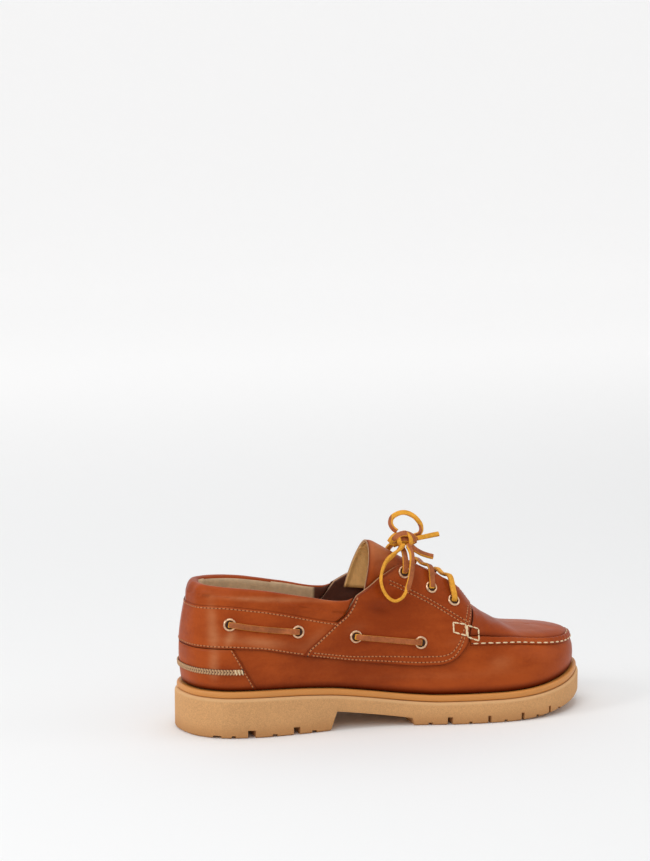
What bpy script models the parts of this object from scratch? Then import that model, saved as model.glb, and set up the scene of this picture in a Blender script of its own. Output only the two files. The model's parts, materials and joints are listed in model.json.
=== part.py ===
"""Three-eyelet boat shoe on a lug sole, right foot, standing empty on its sole.

Toe along +X, outer side along -Y, floor at z = 0, origin under the middle of the sole. Metres.

Every piece is worked out from one surface, the outer face of the upper. That surface is a fan of ribs:
each rib starts at the welt, at a place along the side that runs from 0 at the back of the heel to 1 at
the tip of the toe, and ends on the collar line, the throat edge or the ridge of the toe box.
"""
import math
from collections import namedtuple

import bmesh
import bpy
from mathutils import Matrix, Vector

# Sole sizes
SOLE_LENGTH = 0.300
BALL_WIDTH = 0.1068
HEEL_WIDTH = 0.0800
HEEL_STACK = 0.0323
BALL_STACK = 0.0206
TOE_SPRING = 0.0095
WELT_HEIGHT = 0.0044
WELT_SET_IN = 0.0014
FOOTBED_THICKNESS = 0.0030

# Upper sizes. Rises are measured up from the welt.
COLLAR_RISE = 0.0715
INSTEP_RISE = 0.0885
TOE_BOX_RISE = 0.0330
COLLAR_WIDTH = 0.0610
FEATHER_SET_IN = 0.0064
FEATHER_SET_IN_TOE = 0.0044
WALL = 0.0020

# Leather laid over the upper
COUNTER_THICKNESS = 0.0010
QUARTER_THICKNESS = 0.0013
SADDLE_THICKNESS = 0.0016
APRON_THICKNESS = 0.0010
SEAM_RIDGE = 0.0022
HEEL_SEAM_WIDTH = 0.0036
HEEL_SEAM_THICKNESS = 0.0012
COLLAR_PAD = 0.0085
COLLAR_PAD_FRONT = 0.0045
COLLAR_BULGE = 0.0016
TONGUE_THICKNESS = 0.0024

# Fastening
EYELET_OUTER = 0.0046
EYELET_HOLE = 0.0029
EYELET_THICKNESS = 0.0012
LACE_WIDTH = 0.0040
LACE_THICKNESS = 0.0022
LACE_CLEARANCE = 0.0009
RING_CLEARANCE = 0.0006

# Clearances
GAP = 0.0003
LAY_GAP = 0.0005
SADDLE_GAP = 0.0010
APRON_GAP = 0.0008

# How far the outer faces of the quarter and the saddle stand off the upper
QUARTER_FACE = LAY_GAP + QUARTER_THICKNESS
SADDLE_FACE = SADDLE_GAP + SADDLE_THICKNESS

# Counts of facets
SIDE_STEPS = 30
RIB_STEPS = 9


Station = namedtuple("Station", "along outer inner width")

# Plan of the sole at each station: place along the length from its middle, and the reach to the outer
# and inner side, as shares of the sole length and of the width that is named.
SOLE_PLAN = [
    Station(-0.500, -0.014, 0.014, HEEL_WIDTH),
    Station(-0.480, 0.285, 0.244, HEEL_WIDTH),
    Station(-0.427, 0.472, 0.406, HEEL_WIDTH),
    Station(-0.350, 0.544, 0.462, HEEL_WIDTH),
    Station(-0.233, 0.534, 0.450, HEEL_WIDTH),
    Station(-0.120, 0.490, 0.431, HEEL_WIDTH),
    Station(-0.080, 0.368, 0.331, BALL_WIDTH),
    Station(-0.040, 0.374, 0.342, BALL_WIDTH),
    Station(0.033, 0.405, 0.384, BALL_WIDTH),
    Station(0.107, 0.453, 0.440, BALL_WIDTH),
    Station(0.173, 0.485, 0.478, BALL_WIDTH),
    Station(0.207, 0.494, 0.491, BALL_WIDTH),
    Station(0.233, 0.498, 0.498, BALL_WIDTH),
    Station(0.267, 0.500, 0.500, BALL_WIDTH),
    Station(0.350, 0.465, 0.478, BALL_WIDTH),
    Station(0.423, 0.354, 0.403, BALL_WIDTH),
    Station(0.473, 0.189, 0.267, BALL_WIDTH),
    Station(0.500, -0.031, 0.031, BALL_WIDTH),
]

Crest = namedtuple("Crest", "along half rise of")

# Where each station's rib ends: the collar line, then the throat edge, then the ridge of the toe box.
# Half is the reach to either side as a share of the collar width.
CREST_LINE = [
    Crest(-0.460, 0.000, 1.000, COLLAR_RISE),
    Crest(-0.451, 0.210, 1.000, COLLAR_RISE),
    Crest(-0.408, 0.385, 0.988, COLLAR_RISE),
    Crest(-0.331, 0.475, 0.955, COLLAR_RISE),
    Crest(-0.222, 0.495, 0.882, COLLAR_RISE),
    Crest(-0.117, 0.462, 0.855, COLLAR_RISE),
    Crest(-0.063, 0.430, 0.795, INSTEP_RISE),
    Crest(-0.022, 0.355, 0.895, INSTEP_RISE),
    Crest(0.040, 0.255, 0.998, INSTEP_RISE),
    Crest(0.110, 0.205, 0.908, INSTEP_RISE),
    Crest(0.163, 0.180, 0.800, INSTEP_RISE),
    Crest(0.190, 0.110, 0.700, INSTEP_RISE),
    Crest(0.198, 0.000, 0.660, INSTEP_RISE),
    Crest(0.233, 0.000, 0.570, INSTEP_RISE),
    Crest(0.305, 0.000, 1.080, TOE_BOX_RISE),
    Crest(0.360, 0.000, 0.920, TOE_BOX_RISE),
    Crest(0.385, 0.000, 0.800, TOE_BOX_RISE),
    Crest(0.392, 0.000, 0.740, TOE_BOX_RISE),
]

Rib = namedtuple("Rib", "lean lift reach outset fall")

# Bend of each station's rib. The lower handle leans out by a share of the collar width and stands up by
# a share of the rise. The upper handle reaches out by a share of the way to the welt, stands off by a
# share of the collar width and falls by a share of the rise.
RIB_BENDS = [
    Rib(0.085, 0.35, 0.00, 0.095, 0.30),
    Rib(0.082, 0.35, 0.00, 0.092, 0.30),
    Rib(0.070, 0.35, 0.00, 0.080, 0.30),
    Rib(0.056, 0.35, 0.00, 0.065, 0.32),
    Rib(0.046, 0.35, 0.05, 0.055, 0.34),
    Rib(0.040, 0.36, 0.15, 0.045, 0.34),
    Rib(0.038, 0.37, 0.28, 0.030, 0.32),
    Rib(0.035, 0.38, 0.36, 0.020, 0.30),
    Rib(0.030, 0.40, 0.44, 0.010, 0.27),
    Rib(0.025, 0.44, 0.50, 0.000, 0.22),
    Rib(0.020, 0.50, 0.56, 0.000, 0.17),
    Rib(0.018, 0.54, 0.60, 0.000, 0.14),
    Rib(0.017, 0.58, 0.62, 0.000, 0.11),
    Rib(0.017, 0.64, 0.64, 0.000, 0.09),
    Rib(0.025, 0.80, 0.68, 0.000, 0.06),
    Rib(0.038, 0.86, 0.72, 0.000, 0.04),
    Rib(0.046, 0.88, 0.75, 0.000, 0.03),
    Rib(0.048, 0.88, 0.76, 0.000, 0.03),
]

# Height of the sole's welt as a blend from the ball's stack, 0, to the heel's, 1
STACK_BLEND = [(-0.50, 1.00), (-0.33, 0.99), (-0.24, 0.92), (-0.167, 0.77), (-0.09, 0.51),
               (0.003, 0.18), (0.05, 0.06), (0.097, 0.00), (0.50, 0.00)]


def between(x, low, high):
    """Share of the way from low to high, held within 0 and 1."""
    return min(1.0, max(0.0, (x - low) / (high - low)))


def mix(a, b, share):
    return a + (b - a) * share


def hermite(a, b, slope_a, slope_b, span, t):
    """Cubic from a to b over a span, with the slopes at its ends."""
    t2, t3 = t * t, t * t * t
    return ((2 * t3 - 3 * t2 + 1) * a + (t3 - 2 * t2 + t) * span * slope_a
            + (3 * t2 - 2 * t3) * b + (t3 - t2) * span * slope_b)


def segment(knots, at):
    """Index of the knot interval that holds a place, and the share of the way through it."""
    i = 0
    while i < len(knots) - 2 and at > knots[i + 1]:
        i += 1
    return i, (at - knots[i]) / (knots[i + 1] - knots[i])


def smooth_table(knots, values, at):
    """Smooth curve through a table, without overshoot between its rows."""
    at = min(knots[-1], max(knots[0], at))
    steps = [(values[k + 1] - values[k]) / (knots[k + 1] - knots[k]) for k in range(len(knots) - 1)]

    def slope(k):
        if k == 0:
            return steps[0]
        if k == len(knots) - 1:
            return steps[-1]
        if steps[k - 1] * steps[k] <= 0:
            return 0.0
        return 2 * steps[k - 1] * steps[k] / (steps[k - 1] + steps[k])

    i, t = segment(knots, at)
    return hermite(values[i], values[i + 1], slope(i), slope(i + 1), knots[i + 1] - knots[i], t)


# Place of each station along the side, by the length of the mean of its two outlines
def station_places():
    places = [0.0]
    for a, b in zip(SOLE_PLAN, SOLE_PLAN[1:]):
        reach_a = (a.outer + a.inner) / 2 * a.width
        reach_b = (b.outer + b.inner) / 2 * b.width
        places.append(places[-1] + math.hypot((b.along - a.along) * SOLE_LENGTH, reach_b - reach_a))
    return [place / places[-1] for place in places]


PLACES = station_places()


def plan_loop():
    """The sole's outline as a closed loop: outer side from heel to toe at 0 to 1, inner side back at 1 to 2."""
    outer = [(row.along * SOLE_LENGTH, -row.outer * row.width) for row in SOLE_PLAN]
    inner = [(row.along * SOLE_LENGTH, row.inner * row.width) for row in SOLE_PLAN]
    points = outer + inner[-2:0:-1]
    knots = PLACES + [2 - place for place in PLACES[-2:0:-1]]
    return knots, points


LOOP_KNOTS, LOOP_POINTS = plan_loop()


def outline(q):
    """Point of the sole's outline and its outward direction at a place round the loop."""
    q = q % 2.0
    count = len(LOOP_KNOTS)
    i = max(k for k in range(count) if LOOP_KNOTS[k] <= q)

    def knot(k):
        return LOOP_KNOTS[k % count] + 2.0 * (k // count)

    def point(k):
        return Vector(LOOP_POINTS[k % count])

    def slope(k):
        before, after = knot(k) - knot(k - 1), knot(k + 1) - knot(k)
        step_in = (point(k) - point(k - 1)) / before
        step_out = (point(k + 1) - point(k)) / after
        return (step_in * after + step_out * before) / (before + after)

    span = knot(i + 1) - knot(i)
    t = (q - knot(i)) / span
    slope_a, slope_b = slope(i), slope(i + 1)
    place = hermite(point(i), point(i + 1), slope_a, slope_b, span, t)
    t_step = 0.001
    ahead = hermite(point(i), point(i + 1), slope_a, slope_b, span, t + t_step)
    heading = (ahead - place).normalized()
    return place, Vector((heading.y, -heading.x))


def inset_outline(q, inset):
    place, out = outline(q)
    return place - out * inset


def feather(q):
    """Set-in of the upper's foot from the sole's outline: narrower at the toe."""
    toe_start = 0.84
    to_toe = between(1.0 - abs(q % 2.0 - 1.0), toe_start, 1.0)
    return mix(FEATHER_SET_IN, FEATHER_SET_IN_TOE, to_toe * to_toe * (3 - 2 * to_toe))


def tread_height(x):
    """Lowest height of the sole at a place along it: flat, then the toe spring."""
    return TOE_SPRING * between(x, 0.235 * SOLE_LENGTH, 0.5 * SOLE_LENGTH) ** 2


def welt_top(x):
    blend = smooth_table([row[0] for row in STACK_BLEND], [row[1] for row in STACK_BLEND], x / SOLE_LENGTH)
    return tread_height(x) + mix(BALL_STACK, HEEL_STACK, blend)


def welt_foot(x):
    return welt_top(x) - WELT_HEIGHT


def crest(q):
    """End of the rib at a place round the loop."""
    side = -1.0 if q % 2.0 <= 1.0 else 1.0
    place = (q % 2.0) if q % 2.0 <= 1.0 else 2.0 - q % 2.0
    x = smooth_table(PLACES, [row.along * SOLE_LENGTH for row in CREST_LINE], place)
    half = smooth_table(PLACES, [row.half * COLLAR_WIDTH for row in CREST_LINE], place)
    rises = [row.rise * row.of + welt_top(base.along * SOLE_LENGTH) for row, base in zip(CREST_LINE, SOLE_PLAN)]
    return Vector((x, side * half, smooth_table(PLACES, rises, place)))


def bend(q):
    place = (q % 2.0) if q % 2.0 <= 1.0 else 2.0 - q % 2.0
    return Rib(*(smooth_table(PLACES, [row[k] for row in RIB_BENDS], place) for k in range(5)))


RIB_CACHE = {}


def rib(q):
    """The four handles of the rib at a place round the loop."""
    key = round(q % 2.0, 7)
    if key not in RIB_CACHE:
        foot_xy, out_xy = inset_outline(q, feather(q)), outline(q)[1]
        out = Vector((out_xy.x, out_xy.y, 0.0))
        foot = Vector((foot_xy.x, foot_xy.y, welt_top(foot_xy.x) + GAP))
        top = crest(q)
        shape = bend(q)
        rise = top.z - foot.z
        away = Vector((foot.x - top.x, foot.y - top.y, 0.0))
        low = foot + out * shape.lean * COLLAR_WIDTH + Vector((0, 0, shape.lift * rise))
        high = top + away * shape.reach + out * shape.outset * COLLAR_WIDTH - Vector((0, 0, shape.fall * rise))
        RIB_CACHE[key] = (foot, low, high, top)
    return RIB_CACHE[key]


def skin(q, v):
    """Outer face of the upper: place q round the loop, height v from the welt, 0, to the crest, 1."""
    foot, low, high, top = rib(q)
    u = 1.0 - v
    return foot * u ** 3 + low * (3 * v * u * u) + high * (3 * v * v * u) + top * v ** 3


def skin_normal(q, v):
    """Outward direction of the upper's outer face."""
    q_step, v_step = 0.002, 0.01
    v = min(max(v, v_step), 1.0 - v_step)
    along = skin(q + q_step, v) - skin(q - q_step, v)
    up = skin(q, v + v_step) - skin(q, v - v_step)
    return along.cross(up).normalized()


def off_skin(q, v, lift):
    """A point that stands off the outer face."""
    return skin(q, v) + skin_normal(q, v) * lift


def height_on_rib(q, z):
    """Height v at which the rib at q reaches z."""
    low, high = 0.0, 1.0
    for _ in range(24):
        middle = (low + high) / 2
        if skin(q, middle).z < z:
            low = middle
        else:
            high = middle
    return (low + high) / 2


def spread(count):
    """Places from 0 to 1, closer together at the heel and the toe, where the outline is round."""
    even = 0.55
    return [even * k / count + (1 - even) * (1 - math.cos(math.pi * k / count)) / 2 for k in range(count + 1)]


SIDE_PLACES = spread(SIDE_STEPS)


def place_at(x):
    """Place along the side where the sole's outline is x from its middle."""
    return smooth_table([row.along * SOLE_LENGTH for row in SOLE_PLAN], PLACES, x)


# Lines on the side of the upper, as heights above the floor at places along the length. Both columns are
# shares: of the sole length from its middle, and of the collar rise above the welt at the heel.
QUARTER_LINE = [(-0.50, 0.405), (-0.42, 0.408), (-0.34, 0.388), (-0.25, 0.315), (-0.17, 0.250),
                (-0.08, 0.185), (0.00, 0.140), (0.06, 0.120), (0.10, 0.123), (0.125, 0.150),
                (0.148, 0.215), (0.17, 0.330)]
COLLAR_LINE = [(-0.50, 0.790), (-0.42, 0.800), (-0.34, 0.765), (-0.27, 0.710), (-0.22, 0.660),
               (-0.17, 0.610), (-0.12, 0.570)]

# Lines across the side, as places along the length at heights: same shares
DIAGONAL_LINE = [(0.33, -0.230), (0.58, -0.148), (0.67, -0.118), (0.79, -0.100), (1.00, -0.080)]
COUNTER_LINE = [(0.00, -0.340), (0.41, -0.394)]
SADDLE_FRONT = [(0.14, 0.155), (0.20, 0.163), (0.38, 0.172), (0.48, 0.180), (0.57, 0.190), (0.65, 0.198),
                (0.69, 0.193), (0.73, 0.184), (0.80, 0.170), (1.00, 0.150)]

# Raised seam round the toe, as heights at places along the length: same shares
SEAM_LINE = [(0.17, 0.362), (0.203, 0.349), (0.23, 0.336), (0.28, 0.309), (0.333, 0.270), (0.397, 0.246),
             (0.437, 0.236), (0.50, 0.232)]


def line_height(line, x):
    share = smooth_table([row[0] for row in line], [row[1] for row in line], x / SOLE_LENGTH)
    return HEEL_STACK + share * COLLAR_RISE


def line_x(line, z):
    share = (z - HEEL_STACK) / COLLAR_RISE
    return smooth_table([row[0] for row in line], [row[1] for row in line], share) * SOLE_LENGTH


def loop_place(side, place):
    """Place round the loop of a place along one side: -1 is the outer side and 1 the inner."""
    return place if side < 0 else -place


def on_line(side, line, low, high, share):
    """Place along the side where the rib point a share of the way from low to high meets a line."""
    place = place_at(line_x(line, HEEL_STACK + 0.5 * COLLAR_RISE))
    for _ in range(30):
        q = loop_place(side, place)
        point = skin(q, mix(low(q), high(q), share))
        place += 0.6 * (line_x(line, point.z) - point.x) / SOLE_LENGTH
        place = min(0.999, max(0.001, place))
    return place


def line_ends(line, low, high, rows, shift=0.0):
    """Places where a line across the side ends each row of a panel, for the outer side, -1, and the inner, 1."""
    return {side: [on_line(side, line, low, high, k / rows) + shift for k in range(rows + 1)] for side in (-1, 1)}


def meet_height(q, line):
    """Height v at which the rib at q crosses a line of heights."""
    v = 0.4
    for _ in range(20):
        v = mix(v, height_on_rib(q, line_height(line, skin(q, v).x)), 0.7)
    return v


def full_height(q):
    return 1.0


def quarter_foot(q):
    return meet_height(q, QUARTER_LINE)


# Places along the side where the edge of the throat turns across the foot
THROAT_CORNER = [PLACES[10], (PLACES[10] + PLACES[11]) / 2, PLACES[11], PLACES[12]]


def collar_line_height(q):
    return meet_height(q, COLLAR_LINE)


def collar_foot(q):
    """Top of the wall under the padded collar. In front of its slanted end that is the edge of the opening."""
    def ahead(v):
        point = skin(q, v)
        return point.x - line_x(DIAGONAL_LINE, point.z)

    low, high = collar_line_height(q), 1.0
    if ahead(low) <= 0.0:
        return low
    if ahead(high) >= 0.0:
        return high
    for _ in range(24):
        middle = (low + high) / 2
        if ahead(middle) > 0.0:
            low = middle
        else:
            high = middle
    return low


# Mesh helpers

def clear_scene():
    for item in list(bpy.data.objects):
        bpy.data.objects.remove(item, do_unlink=True)


def collection(name):
    made = bpy.data.collections.new(name)
    bpy.context.scene.collection.children.link(made)
    return made


def material(name, color, roughness, metallic=0.0):
    made = bpy.data.materials.new(name)
    made.use_nodes = True
    shader = made.node_tree.nodes["Principled BSDF"]
    shader.inputs["Base Color"].default_value = (*color, 1.0)
    shader.inputs["Roughness"].default_value = roughness
    shader.inputs["Metallic"].default_value = metallic
    return made


def add_object(name, data, finish, parts):
    item = bpy.data.objects.new(name, data)
    data.materials.append(finish)
    parts.objects.link(item)
    return item


def mesh_object(name, bm, finish, parts):
    data = bpy.data.meshes.new(name)
    bm.to_mesh(data)
    bm.free()
    data.shade_smooth()
    return add_object(name, data, finish, parts)


def sheet(columns, rows, place):
    """Grid mapped by a function of the share along and the share up, with what meets merged."""
    bm = bmesh.new()
    bmesh.ops.create_grid(bm, x_segments=columns, y_segments=rows, size=0.5)
    for vert in bm.verts:
        vert.co = place(vert.co.x + 0.5, vert.co.y + 0.5)
    bmesh.ops.remove_doubles(bm, verts=bm.verts[:], dist=0.00001)
    return bm


def give_wall(item, thickness, side):
    """Wall behind the sheet, side -1, or in front of it, side 1."""
    wall = item.modifiers.new("Wall", "SOLIDIFY")
    wall.thickness = thickness
    wall.offset = side
    wall.use_quality_normals = True


def slab(levels, steps=SIDE_STEPS, across=2):
    """Closed plate in the sole's outline. Each level is an inset and a height at x, from the bottom up."""
    bm = bmesh.new()
    bmesh.ops.create_grid(bm, x_segments=steps, y_segments=across, size=0.5)
    along = bm.verts.layers.float.new("along")
    over = bm.verts.layers.float.new("over")
    for vert in bm.verts:
        vert[along] = vert.co.x + 0.5
        vert[over] = vert.co.y + 0.5

    def settle(verts, inset, height):
        for vert in verts:
            place = spread(steps)[round(vert[along] * steps)]
            outer, inner = inset_outline(place, inset), inset_outline(2.0 - place, inset)
            spot = outer.lerp(inner, vert[over])
            vert.co = (spot.x, spot.y, height(spot.x))

    faces = bm.faces[:]
    settle(bm.verts, *levels[0])
    for k, level in enumerate(levels[1:]):
        made = bmesh.ops.extrude_face_region(bm, geom=faces)
        if k > 0:
            bmesh.ops.delete(bm, geom=faces, context="FACES")
        faces = [item for item in made["geom"] if isinstance(item, bmesh.types.BMFace)]
        settle([item for item in made["geom"] if isinstance(item, bmesh.types.BMVert)], *level)
    bmesh.ops.remove_doubles(bm, verts=bm.verts[:], dist=0.00001)
    bmesh.ops.recalc_face_normals(bm, faces=bm.faces[:])
    return bm


def tube(name, points, radius, finish, parts, roundness=2):
    """Cord or raised seam through points, with closed ends."""
    data = bpy.data.curves.new(name, "CURVE")
    data.dimensions = "3D"
    data.bevel_depth = radius
    data.bevel_resolution = roundness
    data.use_fill_caps = True
    line = data.splines.new("POLY")
    line.points.add(len(points) - 1)
    for point, place in zip(line.points, points):
        point.co = (*place, 1.0)
    return add_object(name, data, finish, parts)


# Sole

# Grooves across the tread and nicks in its side: place along the length and width, as shares of the sole
# length. Depths and the run of a nick from the side are metres.
TREAD_DEPTH = 0.0055
NICK_DEPTH = 0.0020
NICK_RUN = 0.0100
SIDE_GROOVES = [(-0.357, 0.019), (-0.250, 0.016), (0.117, 0.013), (0.210, 0.008), (0.293, 0.008),
                (0.368, 0.006)]
SIDE_NICKS = [(-0.433, 0.018), (-0.398, 0.010), (-0.303, 0.012), (-0.207, 0.012), (0.072, 0.011),
              (0.165, 0.008), (0.250, 0.008), (0.333, 0.008), (0.397, 0.008)]
ARCH_BACK, ARCH_FRONT = -0.167, 0.037
ARCH_BACK_HEIGHT, ARCH_FRONT_HEIGHT = 0.0135, 0.0056
BREAST_SLOPE = 0.0050
FRONT_SLOPE = 0.0020
TREAD_EDGE = 0.0016
SOLE_BEAD_HEIGHT = 0.0012
SOLE_BEAD_DEPTH = 0.0010
BELOW_FLOOR = -0.0100

# Round of the welt: how far each level is set in from its widest, at shares of its height
WELT_ROUND = [(0.00, 0.0006), (0.12, 0.0000), (0.62, 0.0000), (0.88, 0.0007), (1.00, 0.0020)]
FOOTBED_SET_IN = 0.0012


def box_cutter(name, low, high, cutters):
    """Box between two corners, kept as a cutter."""
    bm = bmesh.new()
    bmesh.ops.create_cube(bm, size=1.0)
    size = [high[k] - low[k] for k in range(3)]
    centre = [(high[k] + low[k]) / 2 for k in range(3)]
    bmesh.ops.scale(bm, vec=size, verts=bm.verts[:])
    bmesh.ops.translate(bm, vec=centre, verts=bm.verts[:])
    return cutter(name, bm, cutters)


def cutter(name, bm, cutters):
    data = bpy.data.meshes.new(name)
    bm.to_mesh(data)
    bm.free()
    item = bpy.data.objects.new(name, data)
    item.hide_render = True
    item.display_type = "WIRE"
    cutters.objects.link(item)
    return item


def cut(item, tool):
    step = item.modifiers.new("Cut " + tool.name, "BOOLEAN")
    step.operation = "DIFFERENCE"
    step.solver = "EXACT"
    step.object = tool


def arch_cutter(cutters):
    """Space under the waist: a slanted heel breast, a sloping ceiling and the back of the forefoot tread."""
    back, front = ARCH_BACK * SOLE_LENGTH, ARCH_FRONT * SOLE_LENGTH
    corners = [(back, BELOW_FLOOR), (back, 0.0), (back + BREAST_SLOPE, ARCH_BACK_HEIGHT),
               (front - FRONT_SLOPE, ARCH_FRONT_HEIGHT), (front, 0.0), (front, BELOW_FLOOR)]
    bm = bmesh.new()
    verts = [bm.verts.new((x, -BALL_WIDTH, z)) for x, z in corners]
    face = bm.faces.new(verts)
    made = bmesh.ops.extrude_face_region(bm, geom=[face])
    moved = [item for item in made["geom"] if isinstance(item, bmesh.types.BMVert)]
    bmesh.ops.translate(bm, vec=(0, 2 * BALL_WIDTH, 0), verts=moved)
    bmesh.ops.recalc_face_normals(bm, faces=bm.faces[:])
    return cutter("arch_space", bm, cutters)


def side_reach(x, side):
    """Where one side of the sole's outline is across the sole, at a place along it."""
    return outline(loop_place(side, place_at(x)))[0].y


def make_outsole(finish, parts, cutters):
    """Lug sole: a slab in the outline, less the arch, the grooves across it and the nicks in its sides."""
    def low_edge(x):
        return tread_height(x) + TREAD_EDGE

    def top(x):
        return welt_foot(x) - GAP

    def shoulder(x):
        return top(x) - SOLE_BEAD_HEIGHT

    bm = slab([(TREAD_EDGE, tread_height), (0.0, low_edge), (0.0, shoulder), (SOLE_BEAD_DEPTH, top)])
    sole = mesh_object("outsole", bm, finish, parts)
    cut(sole, arch_cutter(cutters))
    for k, (along, width) in enumerate(SIDE_GROOVES):
        x = along * SOLE_LENGTH
        half = width * SOLE_LENGTH / 2
        ceiling = tread_height(x) + TREAD_DEPTH
        low, high = (x - half, -BALL_WIDTH, BELOW_FLOOR), (x + half, BALL_WIDTH, ceiling)
        cut(sole, box_cutter(f"groove_{k}", low, high, cutters))
    for k, (along, width) in enumerate(SIDE_NICKS):
        x = along * SOLE_LENGTH
        half = width * SOLE_LENGTH / 2
        ceiling = tread_height(x) + NICK_DEPTH
        for side in (-1, 1):
            edge = side_reach(x, side)
            near, far = sorted((edge - side * NICK_RUN, edge + side * NICK_RUN))
            name = f"nick_{k}_{'outer' if side < 0 else 'inner'}"
            cut(sole, box_cutter(name, (x - half, near, BELOW_FLOOR), (x + half, far, ceiling), cutters))
    return sole


def make_welt(finish, parts):
    def level(share):
        return lambda x: mix(welt_foot(x), welt_top(x), share)

    bm = slab([(WELT_SET_IN + inset, level(share)) for share, inset in WELT_ROUND], across=1)
    return mesh_object("welt", bm, finish, parts)


def make_footbed(finish, parts):
    inset = FEATHER_SET_IN + WALL + FOOTBED_SET_IN

    def bottom(x):
        return welt_top(x) + GAP

    def top(x):
        return bottom(x) + FOOTBED_THICKNESS

    bm = slab([(inset, bottom), (inset, top)], steps=24, across=1)
    return mesh_object("footbed", bm, finish, parts)


# Upper

def wall_places(side):
    """Columns of the upper along one side, some of them on the collar's slanted end and the throat's corner."""
    apart = 0.012
    kept = [on_line(side, DIAGONAL_LINE, collar_line_height, full_height, share) for share in (0.0, 0.5, 1.0)]
    kept += THROAT_CORNER
    places = [place for place in SIDE_PLACES if min(abs(place - spot) for spot in kept) > apart]
    return sorted(places + kept)


def make_upper(finish, parts):
    """One hollow wall round the foot, open underneath and at the collar and throat, closed over the toes."""
    places = wall_places(-1) + [2.0 - place for place in reversed(wall_places(1)[:-1])]

    def place(along, up):
        q = places[round(along * (len(places) - 1))]
        return skin(q, up * collar_foot(q))

    bm = sheet(len(places) - 1, RIB_STEPS, place)
    upper = mesh_object("upper", bm, finish, parts)
    give_wall(upper, WALL, -1)
    return upper


def make_collar(finish, parts):
    """Padded roll along the top of the quarters, round the heel from one side's front end to the other's."""
    columns, turns, rows = 28, 10, 8
    seat, end_gap, squareness = 0.012, 0.0035, 0.68
    taper_start = 0.55
    shares = [k / rows for k in range(rows + 1)]
    ends = line_ends(DIAGONAL_LINE, collar_line_height, full_height, rows, -end_gap)

    def squared(value):
        return math.copysign(abs(value) ** squareness, value)

    def place(along, around):
        turn = 2 * math.pi * around
        up = (squared(math.sin(turn)) + 1) / 2
        signed = 2 * along - 1
        stops = ends[-1 if signed > 0 else 1]
        k, t = segment(shares, up)
        q = signed * mix(stops[k], stops[k + 1], t)
        low = collar_line_height(q) + seat
        pad = mix(COLLAR_PAD, COLLAR_PAD_FRONT, between(abs(signed), taper_start, 1.0))
        lift = COLLAR_BULGE + (squared(math.cos(turn)) - 1) * pad / 2
        return off_skin(q, mix(low, 1.0, up), lift)

    bm = sheet(columns, turns, place)
    rims = [edge for edge in bm.edges if edge.is_boundary]
    bmesh.ops.holes_fill(bm, edges=rims, sides=0)
    bmesh.ops.recalc_face_normals(bm, faces=bm.faces[:])
    return mesh_object("collar", bm, finish, parts)


def make_overlay(name, columns, rows, place, thickness, finish, parts):
    """Leather laid over the upper: a sheet just off its outer face, with its thickness outside."""
    item = mesh_object(name, sheet(columns, rows, place), finish, parts)
    give_wall(item, thickness, 1)
    return item


def make_counter(finish, parts):
    """Reinforcement round the heel, from the welt up to under the quarter."""
    rows = 3
    foot, below_quarter = 0.012, 0.012

    def low(q):
        return foot

    def high(q):
        return quarter_foot(q) - below_quarter

    ends = line_ends(COUNTER_LINE, low, high, rows)

    def place(along, up):
        signed = 2 * along - 1
        q = signed * ends[-1 if signed > 0 else 1][round(up * rows)]
        return off_skin(q, mix(low(q), high(q), up), LAY_GAP)

    return make_overlay("heel_counter", 18, rows, place, COUNTER_THICKNESS, finish, parts)


# Half of the seam between the quarter and the saddle, and the quarter's drop from the collar's seam, as
# shares of the side's length and of the rib's
DIAGONAL_HALF_GAP = 0.0015
QUARTER_DROP = 0.006


def make_quarter(finish, parts):
    """Rear quarter, one piece round the heel between the lower seam and the padded collar."""
    rows = 5

    def high(q):
        return collar_line_height(q) - QUARTER_DROP

    ends = line_ends(DIAGONAL_LINE, quarter_foot, high, rows, -DIAGONAL_HALF_GAP)

    def place(along, up):
        signed = 2 * along - 1
        q = signed * ends[-1 if signed > 0 else 1][round(up * rows)]
        return off_skin(q, mix(quarter_foot(q), high(q), up), LAY_GAP)

    return make_overlay("quarter", 30, rows, place, QUARTER_THICKNESS, finish, parts)


def make_saddle(side, name, finish, parts):
    """Eyestay panel of one side, from the diagonal seam to the front of the throat."""
    rows, columns = 9, 14
    below_edge = 0.006

    def high(q):
        return 1.0 - below_edge

    back = line_ends(DIAGONAL_LINE, quarter_foot, high, rows, DIAGONAL_HALF_GAP)[side]
    front = line_ends(SADDLE_FRONT, quarter_foot, high, rows)[side]

    def place(along, up):
        row = round(up * rows)
        spot = along if side < 0 else 1.0 - along
        q = loop_place(side, mix(back[row], front[row], spot))
        return off_skin(q, mix(quarter_foot(q), high(q), up), SADDLE_GAP)

    return make_overlay(name, columns, rows, place, SADDLE_THICKNESS, finish, parts)


def seam_foot(q):
    return meet_height(q, SEAM_LINE)


def make_apron(finish, parts):
    """Top panel of the toe, inside the raised seam."""
    rows, half_columns = 5, 12
    above_seam, gap_low, gap_high, spacing = 0.040, 0.005, 0.026, 1.25

    def low(q):
        return seam_foot(q) + above_seam

    starts = line_ends(SADDLE_FRONT, low, full_height, rows)
    gaps = [mix(gap_low, gap_high, (k / rows) ** 2) for k in range(rows + 1)]

    def place(along, up):
        signed = 2 * along - 1
        side = -1 if signed <= 0 else 1
        share = 1 - abs(signed) ** spacing
        row = round(up * rows)
        q = loop_place(side, mix(starts[side][row] + gaps[row], 1.0, share))
        if up == 1.0:
            return crest(q) + Vector((0, 0, 1.5 * APRON_GAP))
        return off_skin(q, mix(low(q), 1.0, up), APRON_GAP)

    return make_overlay("apron", 2 * half_columns, rows, place, APRON_THICKNESS, finish, parts)


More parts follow.
